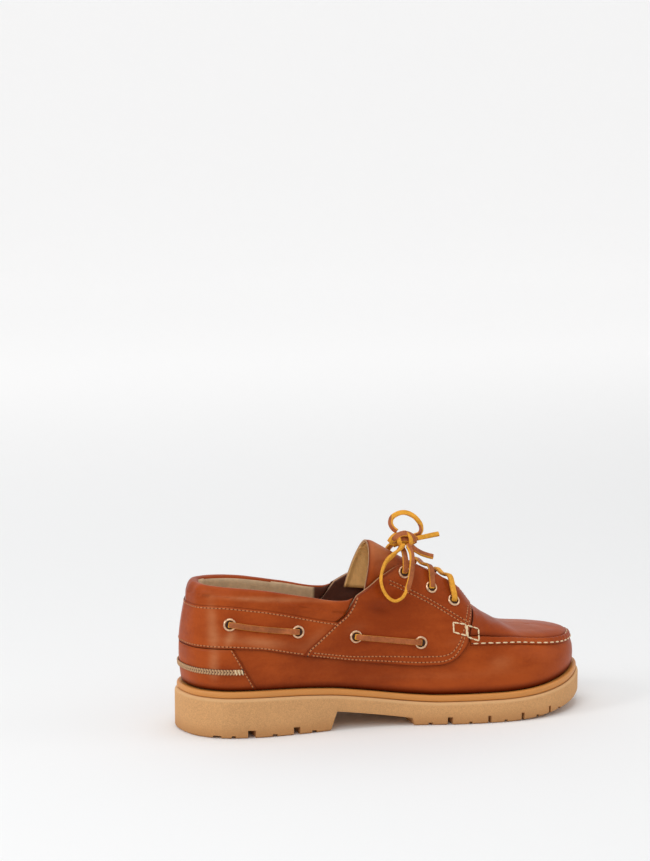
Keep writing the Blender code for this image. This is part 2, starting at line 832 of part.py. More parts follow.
def make_apron_seam(finish, parts):
    """Raised seam round the toe, between the wall of the vamp and the apron."""
    stand = LAY_GAP + SEAM_RIDGE / 2
    front_gap, count = 0.009, 30
    start, end = (on_line(side, SADDLE_FRONT, seam_foot, seam_foot, 0.5) + front_gap for side in (-1, 1))
    points = []
    for k in range(count + 1):
        q = mix(start, 2.0 - end, k / count)
        points.append(off_skin(q, seam_foot(q), stand))
    return tube("apron_seam", points, SEAM_RIDGE / 2, finish, parts, roundness=1)


# Raised seam round the heel: the height of its middle as a share of the collar rise, and its ends along
# the length
HEEL_SEAM_RISE = 0.19
HEEL_SEAM_END = -0.375


def make_heel_seam(finish, parts):
    """Raised stitched seam round the back of the heel counter."""
    stand = LAY_GAP + COUNTER_THICKNESS + GAP
    reach = place_at(HEEL_SEAM_END * SOLE_LENGTH)
    middle = HEEL_STACK + HEEL_SEAM_RISE * COLLAR_RISE

    def place(along, up):
        q = mix(-reach, reach, along)
        return off_skin(q, height_on_rib(q, middle + (up - 0.5) * HEEL_SEAM_WIDTH), stand)

    return make_overlay("heel_seam", 18, 1, place, HEEL_SEAM_THICKNESS, finish, parts)


TongueRow = namedtuple("TongueRow", "along rise half drop sweep")

# Sections of the tongue from its top to its root: ridge place along the length and height as a share of
# the instep rise above the ball's stack, half width and drop as shares of the collar width, and the
# setback of the sides as a share of the sole length.
TONGUE_ROWS = [
    TongueRow(-0.037, 1.197, 0.385, 0.700, -0.037),
    TongueRow(0.000, 1.134, 0.335, 0.620, -0.034),
    TongueRow(0.050, 1.033, 0.287, 0.440, -0.027),
    TongueRow(0.103, 0.942, 0.246, 0.390, -0.017),
    TongueRow(0.150, 0.852, 0.205, 0.360, -0.007),
    TongueRow(0.178, 0.690, 0.175, 0.290, 0.000),
    TongueRow(0.200, 0.600, 0.150, 0.230, 0.000),
    TongueRow(0.233, 0.533, 0.130, 0.200, 0.000),
]
TONGUE_TURN = math.radians(84)


def tongue_row(share):
    """Place of the ridge along the length and the section there, at a share of the way from top to root."""
    knots = [row.along for row in TONGUE_ROWS]
    along = mix(knots[0], knots[-1], share)
    values = (smooth_table(knots, [row[k] for row in TONGUE_ROWS], along) for k in range(1, 5))
    return TongueRow(along, *values)


def tongue_face(share, turn):
    """Outer face of the tongue: share from top to root, turn from the outer side, -1, to the inner, 1."""
    row = tongue_row(share)
    angle = turn * TONGUE_TURN
    fall = 1 - math.cos(angle)
    return Vector(((row.along + row.sweep * fall) * SOLE_LENGTH,
                   math.sin(angle) / math.sin(TONGUE_TURN) * row.half * COLLAR_WIDTH,
                   BALL_STACK + row.rise * INSTEP_RISE - row.drop * fall * COLLAR_WIDTH))


def tongue_height(x, y):
    """Height of the tongue's outer face above a spot of the plan."""
    length = (TONGUE_ROWS[-1].along - TONGUE_ROWS[0].along) * SOLE_LENGTH
    share, turn = 0.5, 0.0
    for _ in range(30):
        point = tongue_face(share, turn)
        share = min(1.0, max(0.0, share + 0.7 * (x - point.x) / length))
        turn = min(1.0, max(-1.0, turn + 0.7 * (y - point.y) / (tongue_row(share).half * COLLAR_WIDTH)))
    return tongue_face(share, turn).z


def make_tongue(finish, parts):
    def place(along, up):
        return tongue_face(along, 2 * up - 1)

    item = mesh_object("tongue", sheet(14, 10, place), finish, parts)
    give_wall(item, TONGUE_THICKNESS, -1)
    return item


# Fastening

# Middle of each eyelet on a side: place along the length and height above the floor, as shares of the
# sole length and of the instep rise
SIDE_EYELETS = [(-0.398, 0.645), (-0.2415, 0.565), (-0.100, 0.490), (0.057, 0.412)]
THROAT_EYELETS = [(0.148, 0.697), (0.096, 0.808), (0.0315, 0.943)]


def seat_on_skin(side, along, rise):
    """Place round the loop and height of the spot of the skin with this x and z."""
    x, z = along * SOLE_LENGTH, BALL_STACK + rise * INSTEP_RISE
    place = place_at(x)
    v = 0.5
    for _ in range(20):
        q = loop_place(side, place)
        v = height_on_rib(q, z)
        place += 0.8 * (x - skin(q, v).x) / SOLE_LENGTH
    return loop_place(side, place), v


def make_eyelet(name, side, along, rise, under, finish, parts):
    """Pressed ring on top of the leather, whose outer face stands off the upper by what is under the ring."""
    q, v = seat_on_skin(side, along, rise)
    out = skin_normal(q, v)
    lift = under + LAY_GAP + EYELET_THICKNESS / 2
    spot = off_skin(q, v, lift)
    ring = (EYELET_OUTER + EYELET_HOLE) / 2
    bpy.ops.mesh.primitive_torus_add(major_segments=12, minor_segments=4, major_radius=ring,
                                     minor_radius=(EYELET_OUTER - EYELET_HOLE) / 2)
    item = bpy.context.active_object
    item.name = name
    item.data.name = name
    turn = out.to_track_quat("Z", "Y").to_matrix().to_4x4()
    item.data.transform(Matrix.Diagonal((1, 1, EYELET_THICKNESS / (EYELET_OUTER - EYELET_HOLE), 1)))
    item.matrix_world = Matrix.Translation(spot) @ turn
    for group in list(item.users_collection):
        group.objects.unlink(item)
    item.data.materials.append(finish)
    item.data.shade_smooth()
    parts.objects.link(item)
    return item


def smooth_path(points):
    """Point on a smooth curve through a route's own points, for a share of the way along it, and its length."""
    route = [Vector(point) for point in points]
    knots = [0.0]
    for a, b in zip(route, route[1:]):
        knots.append(knots[-1] + (b - a).length)

    def slope(k):
        if k == 0:
            return (route[1] - route[0]) / knots[1]
        if k == len(route) - 1:
            return (route[-1] - route[-2]) / (knots[-1] - knots[-2])
        before, after = knots[k] - knots[k - 1], knots[k + 1] - knots[k]
        step_in, step_out = (route[k] - route[k - 1]) / before, (route[k + 1] - route[k]) / after
        return (step_in * after + step_out * before) / (before + after)

    def point(share):
        i, t = segment(knots, knots[-1] * share)
        return hermite(route[i], route[i + 1], slope(i), slope(i + 1), knots[i + 1] - knots[i], t)

    return point, knots[-1]


def lace_strip(name, middle, facing, steps, finish, parts):
    """Flat lace along a path, with its broad side square to a direction that changes along it."""
    step = 0.02

    def place(along, up):
        run = middle(min(1.0, along + step)) - middle(max(0.0, along - step))
        over = facing(along).cross(run).normalized()
        return middle(along) + over * (up - 0.5) * LACE_WIDTH

    item = mesh_object(name, sheet(steps, 1, place), finish, parts)
    give_wall(item, LACE_THICKNESS, 0)
    return item


def make_side_lace(name, side, first, second, under, finish, parts):
    """Lace that shows between two eyelets of the side, over their rings and down on the leather between."""
    on_leather = under + LAY_GAP + LACE_THICKNESS / 2
    length = math.hypot((second[0] - first[0]) * SOLE_LENGTH, (second[1] - first[1]) * INSTEP_RISE)

    def spot(share):
        return seat_on_skin(side, mix(first[0], second[0], share), mix(first[1], second[1], share))

    def middle(share):
        reach = min(share, 1 - share) * length
        over_ring = 1 - between(reach, 1.1 * EYELET_OUTER, 2.2 * EYELET_OUTER)
        return off_skin(*spot(share), on_leather + (EYELET_THICKNESS + RING_CLEARANCE) * over_ring)

    def facing(share):
        return skin_normal(*spot(share))

    return lace_strip(name, middle, facing, 8, finish, parts)


def make_throat_lace(name, along, rise, crown, finish, parts):
    """Lace that crosses the throat between a pair of eyelets, over the edges of the saddles and the tongue."""
    over_ring = SADDLE_FACE + LAY_GAP + EYELET_THICKNESS + RING_CLEARANCE + LACE_THICKNESS / 2
    over_tongue = LACE_CLEARANCE + LACE_THICKNESS / 2
    edge_v = 0.985
    (q_a, v_a), (q_b, v_b) = (seat_on_skin(side, along, rise) for side in (-1, 1))
    seat_a, seat_b = off_skin(q_a, v_a, over_ring), off_skin(q_b, v_b, over_ring)
    edge_a, edge_b = (off_skin(q, edge_v, over_ring + RING_CLEARANCE) for q in (q_a, q_b))
    if crown is None:
        x = (edge_a.x + edge_b.x) / 2
        crown = (x, 0.0, max(tongue_height(x, 0.0) + over_tongue, (edge_a.z + edge_b.z) / 2 + LACE_CLEARANCE))
    on_route, _ = smooth_path([seat_a, edge_a, crown, edge_b, seat_b])
    ridge_up = Vector((0.5, 0.0, 0.87))

    def middle(share):
        spot = on_route(share)
        spot.z = max(spot.z, tongue_height(spot.x, spot.y) + over_tongue)
        return spot

    def facing(share):
        outward = skin_normal(q_a, v_a) if share < 0.5 else skin_normal(q_b, v_b)
        return ridge_up.lerp(outward, abs(2 * share - 1) ** 1.5).normalized()

    return lace_strip(name, middle, facing, 14, finish, parts)


# The bow, in metres. Its knot lies on the top crossing, one loop hangs over the outer saddle, the other
# stands up behind it, and two short ends point to the toe.
KNOT_RADIUS = 0.0044
LACE_RADIUS = 0.0017
KNOT_STEP = 0.0030
CORD_STEP = 4.2 * LACE_RADIUS
KNOT_ROUTE = [(0.0080, -0.0065, 0.1258), (0.0115, -0.0068, 0.1266), (0.0150, -0.0065, 0.1264),
              (0.0185, -0.0060, 0.1256), (0.0210, -0.0055, 0.1246)]
TOP_CROWN = (0.0130, -0.0050, 0.1266 - KNOT_RADIUS - GAP - LACE_THICKNESS / 2 - 0.0004)
BOW_ROUTES = {
    "lace_loop_outer": [
        (0.0120, -0.0122, 0.1230), (0.0080, -0.0152, 0.1202), (0.0020, -0.0190, 0.1172), (-0.0040, -0.0230, 0.1140),
        (-0.0080, -0.0265, 0.1088), (-0.0100, -0.0290, 0.1020), (-0.0092, -0.0312, 0.0960), (-0.0060, -0.0328, 0.0905),
        (-0.0010, -0.0338, 0.0876), (0.0036, -0.0336, 0.0892), (0.0076, -0.0322, 0.0940), (0.0112, -0.0304, 0.1020),
        (0.0136, -0.0268, 0.1100), (0.0158, -0.0196, 0.1172), (0.0166, -0.0117, 0.1222)],
    "lace_loop_inner": [
        (0.0098, -0.0042, 0.1312), (0.0074, -0.0025, 0.1335), (0.0064, -0.0005, 0.1366), (0.0078, 0.0015, 0.1398),
        (0.0120, 0.0030, 0.1422), (0.0172, 0.0038, 0.1431), (0.0225, 0.0038, 0.1416), (0.0270, 0.0030, 0.1382),
        (0.0296, 0.0016, 0.1340), (0.0296, 0.0000, 0.1304), (0.0276, -0.0010, 0.1278), (0.0240, -0.0016, 0.1268)],
    "lace_end_inner": [
        (0.0232, -0.0058, 0.1257), (0.0270, -0.0060, 0.1262), (0.0315, -0.0062, 0.1269), (0.0360, -0.0063, 0.1276),
        (0.0405, -0.0064, 0.1282)],
    "lace_end_outer": [
        (0.0198, -0.0098, 0.1201), (0.0224, -0.0110, 0.1180), (0.0258, -0.0118, 0.1160), (0.0300, -0.0124, 0.1144),
        (0.0340, -0.0130, 0.1132)],
}


def smooth_route(points, spacing):
    """Points at an even spacing on a smooth curve through a route's own points."""
    on_route, length = smooth_path(points)
    count = max(2, round(length / spacing))
    return [on_route(n / count) for n in range(count + 1)]


def make_bow(finish, parts):
    tube("lace_knot", smooth_route(KNOT_ROUTE, KNOT_STEP), KNOT_RADIUS, finish, parts)
    for name, route in BOW_ROUTES.items():
        tube(name, smooth_route(route, CORD_STEP), LACE_RADIUS, finish, parts)


def build():
    clear_scene()
    parts = collection("boat_shoe")
    cutters = collection("cutters")

    gum = material("gum_rubber", (0.50, 0.30, 0.13), 0.75)
    welt_gum = material("welt_rubber", (0.52, 0.25, 0.07), 0.50)
    tan = material("tan_leather", (0.36, 0.10, 0.025), 0.38)
    lining = material("lining_leather", (0.58, 0.40, 0.22), 0.60)
    dark = material("seam_leather", (0.22, 0.07, 0.03), 0.50)
    brass = material("brass", (0.45, 0.30, 0.14), 0.35, 1.0)
    lace = material("lace_leather", (0.55, 0.24, 0.04), 0.50)

    make_outsole(gum, parts, cutters)
    make_welt(welt_gum, parts)
    make_footbed(lining, parts)
    make_upper(tan, parts)
    make_counter(tan, parts)
    make_heel_seam(dark, parts)
    make_quarter(tan, parts)
    make_saddle(-1, "saddle_outer", tan, parts)
    make_saddle(1, "saddle_inner", tan, parts)
    make_collar(tan, parts)
    make_apron(tan, parts)
    make_apron_seam(tan, parts)
    make_tongue(tan, parts)

    for side, word in ((-1, "outer"), (1, "inner")):
        for k, spot in enumerate(SIDE_EYELETS):
            under = QUARTER_FACE if k < 2 else SADDLE_FACE
            make_eyelet(f"side_eyelet_{word}_{k + 1}", side, *spot, under, brass, parts)
        for k, spot in enumerate(THROAT_EYELETS):
            make_eyelet(f"throat_eyelet_{word}_{k + 1}", side, *spot, SADDLE_FACE, brass, parts)
        rear, front = SIDE_EYELETS[:2], SIDE_EYELETS[2:]
        make_side_lace(f"side_lace_{word}_rear", side, *rear, QUARTER_FACE, lace, parts)
        make_side_lace(f"side_lace_{word}_front", side, *front, SADDLE_FACE, lace, parts)
    for k, (spot, crown) in enumerate(zip(THROAT_EYELETS, (None, None, TOP_CROWN))):
        make_throat_lace(f"throat_lace_{k + 1}", *spot, crown, lace, parts)
    make_bow(lace, parts)


build()
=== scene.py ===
"""Boat shoe: leather, stitching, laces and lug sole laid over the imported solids."""

import json
import math
from collections import namedtuple

import bmesh
import bpy
from bpy.props import FloatProperty, FloatVectorProperty, PointerProperty
from mathutils import Matrix, Vector, noise
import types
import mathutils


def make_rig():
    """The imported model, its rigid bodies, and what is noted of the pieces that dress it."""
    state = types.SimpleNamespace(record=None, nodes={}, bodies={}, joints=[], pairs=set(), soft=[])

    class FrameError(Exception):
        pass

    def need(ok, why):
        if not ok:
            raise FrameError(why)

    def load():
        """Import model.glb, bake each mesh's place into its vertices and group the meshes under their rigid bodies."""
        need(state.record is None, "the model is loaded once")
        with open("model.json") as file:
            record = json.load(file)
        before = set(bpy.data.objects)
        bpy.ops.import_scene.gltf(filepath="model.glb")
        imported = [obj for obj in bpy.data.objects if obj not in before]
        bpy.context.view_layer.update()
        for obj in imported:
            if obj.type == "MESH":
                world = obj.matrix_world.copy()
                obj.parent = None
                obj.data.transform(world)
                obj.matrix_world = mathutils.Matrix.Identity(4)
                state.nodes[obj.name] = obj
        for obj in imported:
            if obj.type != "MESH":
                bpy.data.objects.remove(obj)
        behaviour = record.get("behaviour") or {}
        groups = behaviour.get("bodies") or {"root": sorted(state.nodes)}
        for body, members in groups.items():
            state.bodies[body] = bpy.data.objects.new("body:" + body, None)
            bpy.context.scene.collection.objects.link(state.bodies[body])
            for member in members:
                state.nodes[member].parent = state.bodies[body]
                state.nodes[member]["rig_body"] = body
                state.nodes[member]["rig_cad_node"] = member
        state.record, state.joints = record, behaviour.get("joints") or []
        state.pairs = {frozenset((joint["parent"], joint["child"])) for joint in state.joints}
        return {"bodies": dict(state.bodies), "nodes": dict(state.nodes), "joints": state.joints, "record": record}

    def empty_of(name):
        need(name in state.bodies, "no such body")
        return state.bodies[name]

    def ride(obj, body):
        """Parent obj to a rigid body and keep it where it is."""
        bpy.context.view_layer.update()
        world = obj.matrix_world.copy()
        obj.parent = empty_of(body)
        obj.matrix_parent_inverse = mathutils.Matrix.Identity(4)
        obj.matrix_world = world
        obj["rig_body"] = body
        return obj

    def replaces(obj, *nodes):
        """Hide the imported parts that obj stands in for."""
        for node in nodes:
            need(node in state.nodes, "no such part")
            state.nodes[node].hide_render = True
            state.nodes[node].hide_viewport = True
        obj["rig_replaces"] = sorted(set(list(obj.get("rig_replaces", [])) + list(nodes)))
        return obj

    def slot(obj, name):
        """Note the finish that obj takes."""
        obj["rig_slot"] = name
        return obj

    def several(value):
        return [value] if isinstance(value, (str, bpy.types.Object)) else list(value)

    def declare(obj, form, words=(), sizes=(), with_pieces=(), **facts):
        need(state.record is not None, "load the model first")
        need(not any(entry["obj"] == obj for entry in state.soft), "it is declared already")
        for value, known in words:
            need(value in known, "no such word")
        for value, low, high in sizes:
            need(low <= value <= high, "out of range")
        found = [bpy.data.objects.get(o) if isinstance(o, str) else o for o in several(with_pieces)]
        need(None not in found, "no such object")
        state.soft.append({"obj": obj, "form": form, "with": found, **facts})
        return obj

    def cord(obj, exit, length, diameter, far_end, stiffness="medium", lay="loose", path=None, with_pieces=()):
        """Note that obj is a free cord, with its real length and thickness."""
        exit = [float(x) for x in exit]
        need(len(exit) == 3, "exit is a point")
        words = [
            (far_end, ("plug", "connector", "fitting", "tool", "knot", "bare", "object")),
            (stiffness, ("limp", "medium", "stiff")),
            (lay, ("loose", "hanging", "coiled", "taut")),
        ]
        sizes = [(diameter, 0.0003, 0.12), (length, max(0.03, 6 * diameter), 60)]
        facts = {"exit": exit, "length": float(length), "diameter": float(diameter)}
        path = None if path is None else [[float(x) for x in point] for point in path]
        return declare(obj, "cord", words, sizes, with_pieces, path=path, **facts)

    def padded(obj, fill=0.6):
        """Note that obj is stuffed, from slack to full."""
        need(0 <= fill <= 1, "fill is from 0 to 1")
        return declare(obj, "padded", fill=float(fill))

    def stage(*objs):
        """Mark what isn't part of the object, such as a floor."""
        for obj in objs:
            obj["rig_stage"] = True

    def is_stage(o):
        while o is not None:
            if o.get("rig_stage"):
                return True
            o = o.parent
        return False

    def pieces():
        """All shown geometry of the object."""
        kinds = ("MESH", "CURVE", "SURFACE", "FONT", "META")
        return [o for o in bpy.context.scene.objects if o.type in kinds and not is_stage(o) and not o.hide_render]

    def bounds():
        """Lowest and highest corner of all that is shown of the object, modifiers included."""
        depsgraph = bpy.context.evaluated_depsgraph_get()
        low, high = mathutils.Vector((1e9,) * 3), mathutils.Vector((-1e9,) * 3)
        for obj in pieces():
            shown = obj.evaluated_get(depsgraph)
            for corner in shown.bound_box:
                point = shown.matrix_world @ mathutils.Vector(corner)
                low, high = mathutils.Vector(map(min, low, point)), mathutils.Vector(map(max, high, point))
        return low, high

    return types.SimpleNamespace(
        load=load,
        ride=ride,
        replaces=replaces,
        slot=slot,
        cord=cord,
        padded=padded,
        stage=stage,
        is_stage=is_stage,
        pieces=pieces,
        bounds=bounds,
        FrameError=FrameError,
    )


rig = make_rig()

bl_info = {
    "name": "Boat Shoe",
    "version": (1, 0, 0),
    "blender": (4, 5, 0),
    "location": "View3D > Sidebar > Shoe",
    "description": "Leather, stitching, laces and sole of a lug-soled boat shoe",
    "category": "Object",
}

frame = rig.load()
SOLID_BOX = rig.bounds()
SIZE_FILE = "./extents.json"
BODY = "root"

# Sole sizes
SOLE_LENGTH = 0.300
BALL_WIDTH = 0.1068
HEEL_WIDTH = 0.0800
HEEL_STACK = 0.0323
BALL_STACK = 0.0206
TOE_SPRING = 0.0095
WELT_HEIGHT = 0.0044
WELT_SET_IN = 0.0014
FOOTBED_THICKNESS = 0.0030

# Upper sizes. Rises are measured up from the welt.
COLLAR_RISE = 0.0715
INSTEP_RISE = 0.0885
TOE_BOX_RISE = 0.0330
COLLAR_WIDTH = 0.0610
FEATHER_SET_IN = 0.0064
FEATHER_SET_IN_TOE = 0.0044
WALL = 0.0020

# Leather laid over the upper
COUNTER_THICKNESS = 0.0010
QUARTER_THICKNESS = 0.0013
SADDLE_THICKNESS = 0.0016
APRON_THICKNESS = 0.0010
HEEL_SEAM_WIDTH = 0.0036
HEEL_SEAM_THICKNESS = 0.0012
COLLAR_PAD = 0.0085
COLLAR_PAD_FRONT = 0.0045
COLLAR_BULGE = 0.0016
TONGUE_THICKNESS = 0.0024

# Fastening
EYELET_OUTER = 0.0046
LACE_WIDTH = 0.0040
LACE_THICKNESS = 0.0022
LACE_CLEARANCE = 0.0009
RING_CLEARANCE = 0.0006

# Clearances
GAP = 0.0003
LAY_GAP = 0.0005
SADDLE_GAP = 0.0010
APRON_GAP = 0.0008

# How far the outer faces of the quarter and the saddle stand off the upper
QUARTER_FACE = LAY_GAP + QUARTER_THICKNESS
SADDLE_FACE = SADDLE_GAP + SADDLE_THICKNESS

Station = namedtuple("Station", "along outer inner width")

# Plan of the sole at each station: place along the length from its middle, and the reach to the outer
# and inner side, as shares of the sole length and of the width that is named.
SOLE_PLAN = [Station(*row) for row in (
    (-0.500, -0.014, 0.014, HEEL_WIDTH),
    (-0.480, 0.285, 0.244, HEEL_WIDTH),
    (-0.427, 0.472, 0.406, HEEL_WIDTH),
    (-0.350, 0.544, 0.462, HEEL_WIDTH),
    (-0.233, 0.534, 0.450, HEEL_WIDTH),
    (-0.120, 0.490, 0.431, HEEL_WIDTH),
    (-0.080, 0.368, 0.331, BALL_WIDTH),
    (-0.040, 0.374, 0.342, BALL_WIDTH),
    (0.033, 0.405, 0.384, BALL_WIDTH),
    (0.107, 0.453, 0.440, BALL_WIDTH),
    (0.173, 0.485, 0.478, BALL_WIDTH),
    (0.207, 0.494, 0.491, BALL_WIDTH),
    (0.233, 0.498, 0.498, BALL_WIDTH),
    (0.267, 0.500, 0.500, BALL_WIDTH),
    (0.350, 0.465, 0.478, BALL_WIDTH),
    (0.423, 0.354, 0.403, BALL_WIDTH),
    (0.473, 0.189, 0.267, BALL_WIDTH),
    (0.500, -0.031, 0.031, BALL_WIDTH),
)]

Crest = namedtuple("Crest", "along half rise of")

# Where each station's rib ends: the collar line, then the throat edge, then the ridge of the toe box.
# Half is the reach to either side as a share of the collar width.
CREST_LINE = [Crest(*row) for row in (
    (-0.460, 0.000, 1.000, COLLAR_RISE),
    (-0.451, 0.210, 1.000, COLLAR_RISE),
    (-0.408, 0.385, 0.988, COLLAR_RISE),
    (-0.331, 0.475, 0.955, COLLAR_RISE),
    (-0.222, 0.495, 0.882, COLLAR_RISE),
    (-0.117, 0.462, 0.855, COLLAR_RISE),
    (-0.063, 0.430, 0.795, INSTEP_RISE),
    (-0.022, 0.355, 0.895, INSTEP_RISE),
    (0.040, 0.255, 0.998, INSTEP_RISE),
    (0.110, 0.205, 0.908, INSTEP_RISE),
    (0.163, 0.180, 0.800, INSTEP_RISE),
    (0.190, 0.110, 0.700, INSTEP_RISE),
    (0.198, 0.000, 0.660, INSTEP_RISE),
    (0.233, 0.000, 0.570, INSTEP_RISE),
    (0.305, 0.000, 1.080, TOE_BOX_RISE),
    (0.360, 0.000, 0.920, TOE_BOX_RISE),
    (0.385, 0.000, 0.800, TOE_BOX_RISE),
    (0.392, 0.000, 0.740, TOE_BOX_RISE),
)]

Rib = namedtuple("Rib", "lean lift reach outset fall")

# Bend of each station's rib. The lower handle leans out by a share of the collar width and stands up by
# a share of the rise. The upper handle reaches out by a share of the way to the welt, stands off by a
# share of the collar width and falls by a share of the rise.
RIB_BENDS = [Rib(*row) for row in (
    (0.085, 0.35, 0.00, 0.095, 0.30),
    (0.082, 0.35, 0.00, 0.092, 0.30),
    (0.070, 0.35, 0.00, 0.080, 0.30),
    (0.056, 0.35, 0.00, 0.065, 0.32),
    (0.046, 0.35, 0.05, 0.055, 0.34),
    (0.040, 0.36, 0.15, 0.045, 0.34),
    (0.038, 0.37, 0.28, 0.030, 0.32),
    (0.035, 0.38, 0.36, 0.020, 0.30),
    (0.030, 0.40, 0.44, 0.010, 0.27),
    (0.025, 0.44, 0.50, 0.000, 0.22),
    (0.020, 0.50, 0.56, 0.000, 0.17),
    (0.018, 0.54, 0.60, 0.000, 0.14),
    (0.017, 0.58, 0.62, 0.000, 0.11),
    (0.017, 0.64, 0.64, 0.000, 0.09),
    (0.025, 0.80, 0.68, 0.000, 0.06),
    (0.038, 0.86, 0.72, 0.000, 0.04),
    (0.046, 0.88, 0.75, 0.000, 0.03),
    (0.048, 0.88, 0.76, 0.000, 0.03),
)]

# Height of the sole's welt as a blend from the ball's stack, 0, to the heel's, 1
STACK_BLEND = [(-0.50, 1.00), (-0.33, 0.99), (-0.24, 0.92), (-0.167, 0.77), (-0.09, 0.51),
               (0.003, 0.18), (0.05, 0.06), (0.097, 0.00), (0.50, 0.00)]


def between(x, low, high):
    """Share of the way from low to high, held within 0 and 1."""
    return min(1.0, max(0.0, (x - low) / (high - low)))


def smooth_step(x, low, high):
    """Share of the way from low to high that starts and stops softly."""
    share = between(x, low, high)
    return share * share * (3 - 2 * share)


def mix(a, b, share):
    return a + (b - a) * share


def even_shares(count):
    return [k / count for k in range(count + 1)]


def hermite(a, b, slope_a, slope_b, span, t):
    """Cubic from a to b over a span, with the slopes at its ends."""
    t2, t3 = t * t, t * t * t
    return ((2 * t3 - 3 * t2 + 1) * a + (t3 - 2 * t2 + t) * span * slope_a
            + (3 * t2 - 2 * t3) * b + (t3 - t2) * span * slope_b)


def segment(knots, at):
    """Index of the knot interval that holds a place, and the share of the way through it."""
    i = 0
    while i < len(knots) - 2 and at > knots[i + 1]:
        i += 1
    return i, (at - knots[i]) / (knots[i + 1] - knots[i])


def smooth_table(knots, values, at):
    """Smooth curve through a table, without overshoot between its rows."""
    at = min(knots[-1], max(knots[0], at))
    steps = [(values[k + 1] - values[k]) / (knots[k + 1] - knots[k]) for k in range(len(knots) - 1)]

    def slope(k):
        if k == 0:
            return steps[0]
        if k == len(knots) - 1:
            return steps[-1]
        if steps[k - 1] * steps[k] <= 0:
            return 0.0
        return 2 * steps[k - 1] * steps[k] / (steps[k - 1] + steps[k])

    i, t = segment(knots, at)
    return hermite(values[i], values[i + 1], slope(i), slope(i + 1), knots[i + 1] - knots[i], t)


def station_places():
    """Place of each station along the side, by the length of the mean of its two outlines."""
    places = [0.0]
    for a, b in zip(SOLE_PLAN, SOLE_PLAN[1:]):
        reach_a = (a.outer + a.inner) / 2 * a.width
        reach_b = (b.outer + b.inner) / 2 * b.width
        places.append(places[-1] + math.hypot((b.along - a.along) * SOLE_LENGTH, reach_b - reach_a))
    return [place / places[-1] for place in places]


PLACES = station_places()


def plan_loop():
    """The sole's outline as a closed loop: outer side to the toe at 0 to 1, inner side back at 1 to 2."""
    outer = [(row.along * SOLE_LENGTH, -row.outer * row.width) for row in SOLE_PLAN]
    inner = [(row.along * SOLE_LENGTH, row.inner * row.width) for row in SOLE_PLAN]
    points = outer + inner[-2:0:-1]
    knots = PLACES + [2 - place for place in PLACES[-2:0:-1]]
    return knots, points


LOOP_KNOTS, LOOP_POINTS = plan_loop()


def side_of(q):
    """Side that a place round the loop is on: -1 is the outer side and 1 the inner."""
    return -1 if q % 2.0 <= 1.0 else 1


def side_place(q):
    """Place along its side, from heel to toe, of a place round the loop."""
    q = q % 2.0
    return q if q <= 1.0 else 2.0 - q


def outline(q):
    """Point of the sole's outline and its outward direction at a place round the loop."""
    q = q % 2.0
    count = len(LOOP_KNOTS)
    i = max(k for k in range(count) if LOOP_KNOTS[k] <= q)

    def knot(k):
        return LOOP_KNOTS[k % count] + 2.0 * (k // count)

    def point(k):
        return Vector(LOOP_POINTS[k % count])

    def slope(k):
        before, after = knot(k) - knot(k - 1), knot(k + 1) - knot(k)
        step_in = (point(k) - point(k - 1)) / before
        step_out = (point(k + 1) - point(k)) / after
        return (step_in * after + step_out * before) / (before + after)

    span = knot(i + 1) - knot(i)
    t = (q - knot(i)) / span
    slope_a, slope_b = slope(i), slope(i + 1)
    place = hermite(point(i), point(i + 1), slope_a, slope_b, span, t)
    t_step = 0.001
    ahead = hermite(point(i), point(i + 1), slope_a, slope_b, span, t + t_step)
    heading = (ahead - place).normalized()
    return place, Vector((heading.y, -heading.x))


def inset_outline(q, inset):
    place, out = outline(q)
    return place - out * inset


def feather(q):
    """Set-in of the upper's foot from the sole's outline: narrower at the toe."""
    toe_start = 0.84
    return mix(FEATHER_SET_IN, FEATHER_SET_IN_TOE, smooth_step(side_place(q), toe_start, 1.0))


def tread_height(x):
    """Lowest height of the sole at a place along it: flat, then the toe spring."""
    spring_start, toe = 0.235, 0.5
    return TOE_SPRING * between(x, spring_start * SOLE_LENGTH, toe * SOLE_LENGTH) ** 2


def welt_top(x):
    blend = smooth_table([row[0] for row in STACK_BLEND], [row[1] for row in STACK_BLEND], x / SOLE_LENGTH)
    return tread_height(x) + mix(BALL_STACK, HEEL_STACK, blend)


def welt_foot(x):
    return welt_top(x) - WELT_HEIGHT


def crest(q):
    """End of the rib at a place round the loop."""
    place = side_place(q)
    x = smooth_table(PLACES, [row.along * SOLE_LENGTH for row in CREST_LINE], place)
    half = smooth_table(PLACES, [row.half * COLLAR_WIDTH for row in CREST_LINE], place)
    rises = [row.rise * row.of + welt_top(base.along * SOLE_LENGTH)
             for row, base in zip(CREST_LINE, SOLE_PLAN)]
    return Vector((x, side_of(q) * half, smooth_table(PLACES, rises, place)))


def bend(q):
    place = side_place(q)
    return Rib(*(smooth_table(PLACES, [row[k] for row in RIB_BENDS], place) for k in range(5)))


# Ribs worked out so far, by their number round the loop, and the step from each to the next
RIB_CACHE = {}
RIB_STEP = 0.0005


def rib(q):
    """The four handles of the rib at a place round the loop, between two close ribs worked out exactly."""
    place = q % 2.0 / RIB_STEP
    k = math.floor(place)
    return [a.lerp(b, place - k) for a, b in zip(close_rib(k), close_rib(k + 1))]


